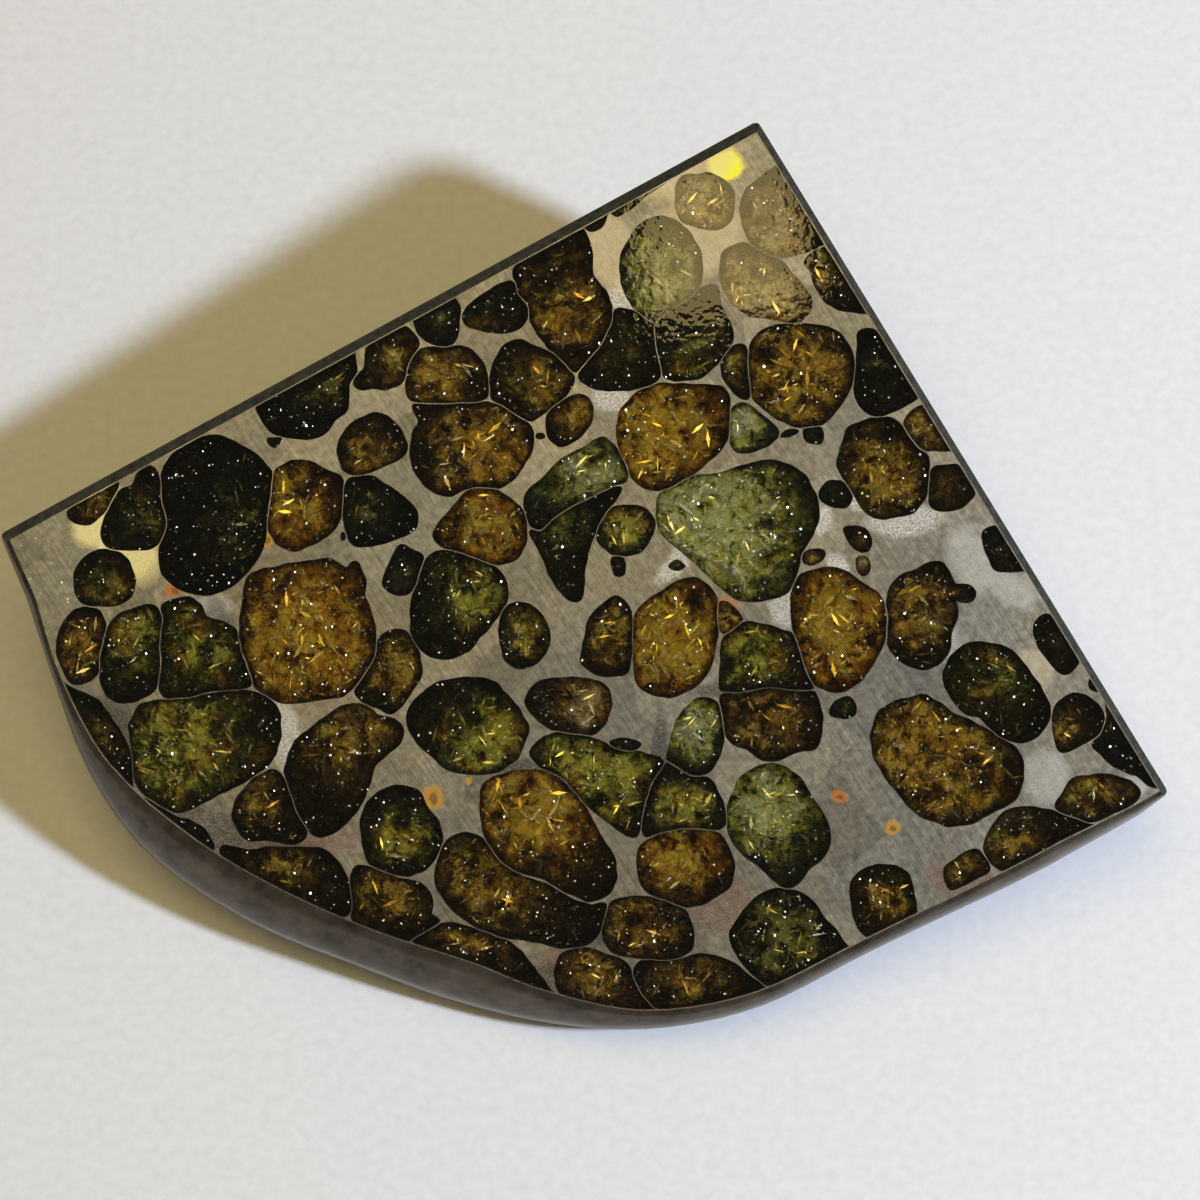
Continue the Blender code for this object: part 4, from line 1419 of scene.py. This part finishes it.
def darker_metal_or_painted_shade(name, low, high, roughness, metallic, size, strength):
    """Darker metal with mottled colour and a fine bump, for the skin, and for edges and pocket walls as painted
    shade.
    """
    material, tree, shader, output, add, join = new_material(name)
    flat = face_millimetres(add, join)
    mottle = add("ShaderNodeTexNoise", Scale=1.0 / size, Detail=5.0, Roughness=0.68)
    join(flat, mottle.inputs["Vector"])
    tint = ramp_of(add, (0.30, low), (0.70, high))
    join(mottle.outputs["Fac"], tint.inputs["Fac"])
    join(tint.outputs["Color"], shader.inputs["Base Color"])
    rough = add("ShaderNodeMapRange")
    rough.inputs["To Min"].default_value = roughness[0]
    rough.inputs["To Max"].default_value = roughness[1]
    join(mottle.outputs["Fac"], rough.inputs["Value"])
    join(rough.outputs["Result"], shader.inputs["Roughness"])
    fine = add("ShaderNodeTexNoise", Scale=4.0 / size, Detail=3.0)
    join(flat, fine.inputs["Vector"])
    bump = add("ShaderNodeBump", Strength=strength, Distance=0.0001)
    join(fine.outputs["Fac"], bump.inputs["Height"])
    join(bump.outputs["Normal"], shader.inputs["Normal"])
    shader.inputs["Metallic"].default_value = metallic
    return material


body_finishes = (
    polished_metal(),
    darker_metal_or_painted_shade("sawn_nickel_iron", (0.20, 0.18, 0.15), (0.42, 0.39, 0.34), (0.30, 0.50), 0.85, 1.2, 0.5),
    darker_metal_or_painted_shade("natural_skin", (0.030, 0.024, 0.018), (0.13, 0.105, 0.080), (0.10, 0.30), 0.55, 3.0, 0.25),
    # Painted dark reflection: the bevelled edge is painted near black for the dim room it mirrors.
    darker_metal_or_painted_shade("bevelled_edge_painted_dark", (0.020, 0.020, 0.014), (0.10, 0.10, 0.070), (0.20, 0.45), 0.7, 0.8, 0.8),
    # Painted shade: the pocket walls are painted dark, so every grain gets a dark rim.
    darker_metal_or_painted_shade("pocket_wall_painted_shade", (0.020, 0.014, 0.008), (0.09, 0.065, 0.040), (0.35, 0.55), 0.6, 0.6, 0.6),
)
for index, finish in enumerate(body_finishes):
    metal_body.data.materials[index] = finish
print("body finishes:", [finish.name for finish in body_finishes])

# %% [markdown]
# ## Floor and light
#
# The photograph has a pale paper floor, one soft lamp low on the right that throws a shadow to the upper left,
# and a warm room all round. A small warm panel stands where the face mirrors it towards the camera.

# %% Floor, lamps and room
KEY_DIRECTION = Vector((0.735, -0.125, 0.666))
KEY_DISTANCE = 0.9
KEY_SIZE = 0.075
KEY_POWER = 8.9
KEY_COLOUR = (0.69, 0.79, 1.0)
CEILING_DISTANCE = 1.2
WARM_DIRECTION = Vector((-0.14, 0.18, 0.974))
WARM_SIZE = 0.85
WARM_POWER = 5.1
WARM_COLOUR = (1.0, 0.77, 0.30)
GLOW_SPOT = (722, 235)
GLOW_SIZE = 0.075
GLOW_POWER = 0.045
FLOOR_SIZE = 1.6


def paper_floor():
    mesh = bmesh.new()
    bmesh.ops.create_grid(mesh, x_segments=1, y_segments=1, size=FLOOR_SIZE / 2.0)
    material, tree, shader, output, add, join = new_material("paper_floor")
    place = add("ShaderNodeTexCoord")
    grain = add("ShaderNodeTexNoise", Scale=900.0, Detail=2.0)
    join(place.outputs["Object"], grain.inputs["Vector"])
    tint = ramp_of(add, (0.3, (0.78, 0.78, 0.775)), (0.7, (0.84, 0.84, 0.835)))
    join(grain.outputs["Fac"], tint.inputs["Fac"])
    join(tint.outputs["Color"], shader.inputs["Base Color"])
    bump = add("ShaderNodeBump", Strength=0.12, Distance=0.0002)
    join(grain.outputs["Fac"], bump.inputs["Height"])
    join(bump.outputs["Normal"], shader.inputs["Normal"])
    shader.inputs["Roughness"].default_value = 0.8
    return new_object("floor", mesh, [material])


def area_light(name, place, aim, size, power, colour, length=None):
    data = bpy.data.lights.new(name, "AREA")
    data.energy, data.color, data.size = power, colour, size
    if length:
        data.shape, data.size_y = "RECTANGLE", length
    light = bpy.data.objects.new(name, data)
    light.location = place
    light.rotation_euler = (place - aim).to_track_quat("Z", "Y").to_euler()
    bpy.context.scene.collection.objects.link(light)
    return light


floor = paper_floor()
def mirrored(x, y, distance):
    """The point of the room that the face mirrors to the camera at a point of the sheet."""
    spot = to_world(*from_sheet(x, y))
    normal = LEAN @ FACE_NORMAL
    return spot, spot + (spot - CAMERA_PLACE).normalized().reflect(normal) * distance


key = area_light("key_lamp", FACE_ORIGIN + KEY_DIRECTION * KEY_DISTANCE, FACE_ORIGIN, KEY_SIZE, KEY_POWER,
                 KEY_COLOUR)
fill = area_light("warm_lamp", FACE_ORIGIN + WARM_DIRECTION * CEILING_DISTANCE, FACE_ORIGIN, WARM_SIZE,
                  WARM_POWER, WARM_COLOUR)
spot, glow_place = mirrored(*GLOW_SPOT, CEILING_DISTANCE)
area_light("ceiling_glow", glow_place, spot, GLOW_SIZE, GLOW_POWER, WARM_COLOUR)


def room_light():
    """The room as the stone sees it: a warm pale band near the table, and a dim ceiling."""
    world = bpy.data.worlds.new("room")
    world.use_nodes = True
    tree = world.node_tree
    background = tree.nodes["Background"]
    place = tree.nodes.new("ShaderNodeTexCoord")
    split = tree.nodes.new("ShaderNodeSeparateXYZ")
    ramp = tree.nodes.new("ShaderNodeValToRGB")
    ramp.color_ramp.elements[0].position = 0.10
    ramp.color_ramp.elements[0].color = (0.26, 0.23, 0.17, 1.0)
    ramp.color_ramp.elements[1].position = 0.80
    ramp.color_ramp.elements[1].color = (0.075, 0.066, 0.052, 1.0)
    tree.links.new(place.outputs["Generated"], split.inputs["Vector"])
    tree.links.new(split.outputs["Z"], ramp.inputs["Fac"])
    tree.links.new(ramp.outputs["Color"], background.inputs["Color"])
    bpy.context.scene.world = world


room_light()
bpy.context.scene.view_settings.view_transform = "Standard"
print("key lamp at", [round(x, 3) for x in key.location])

# %% [markdown]
# ## Riding on the CAD model
#
# The stone is one rigid body, so every piece rides on the same one. The metal body stands for the CAD solid,
# and the crystals and what they show inside fill its pockets.

# %% Join the pieces to the frame
for piece, finish_slot in ((metal_body, "nickel_iron"), (olivine, "olivine"), (crystal_beds, "olivine"),
                           (plates, "olivine"), (specks, "olivine")):
    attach(piece, "root")
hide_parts("pallasite_end_cut")
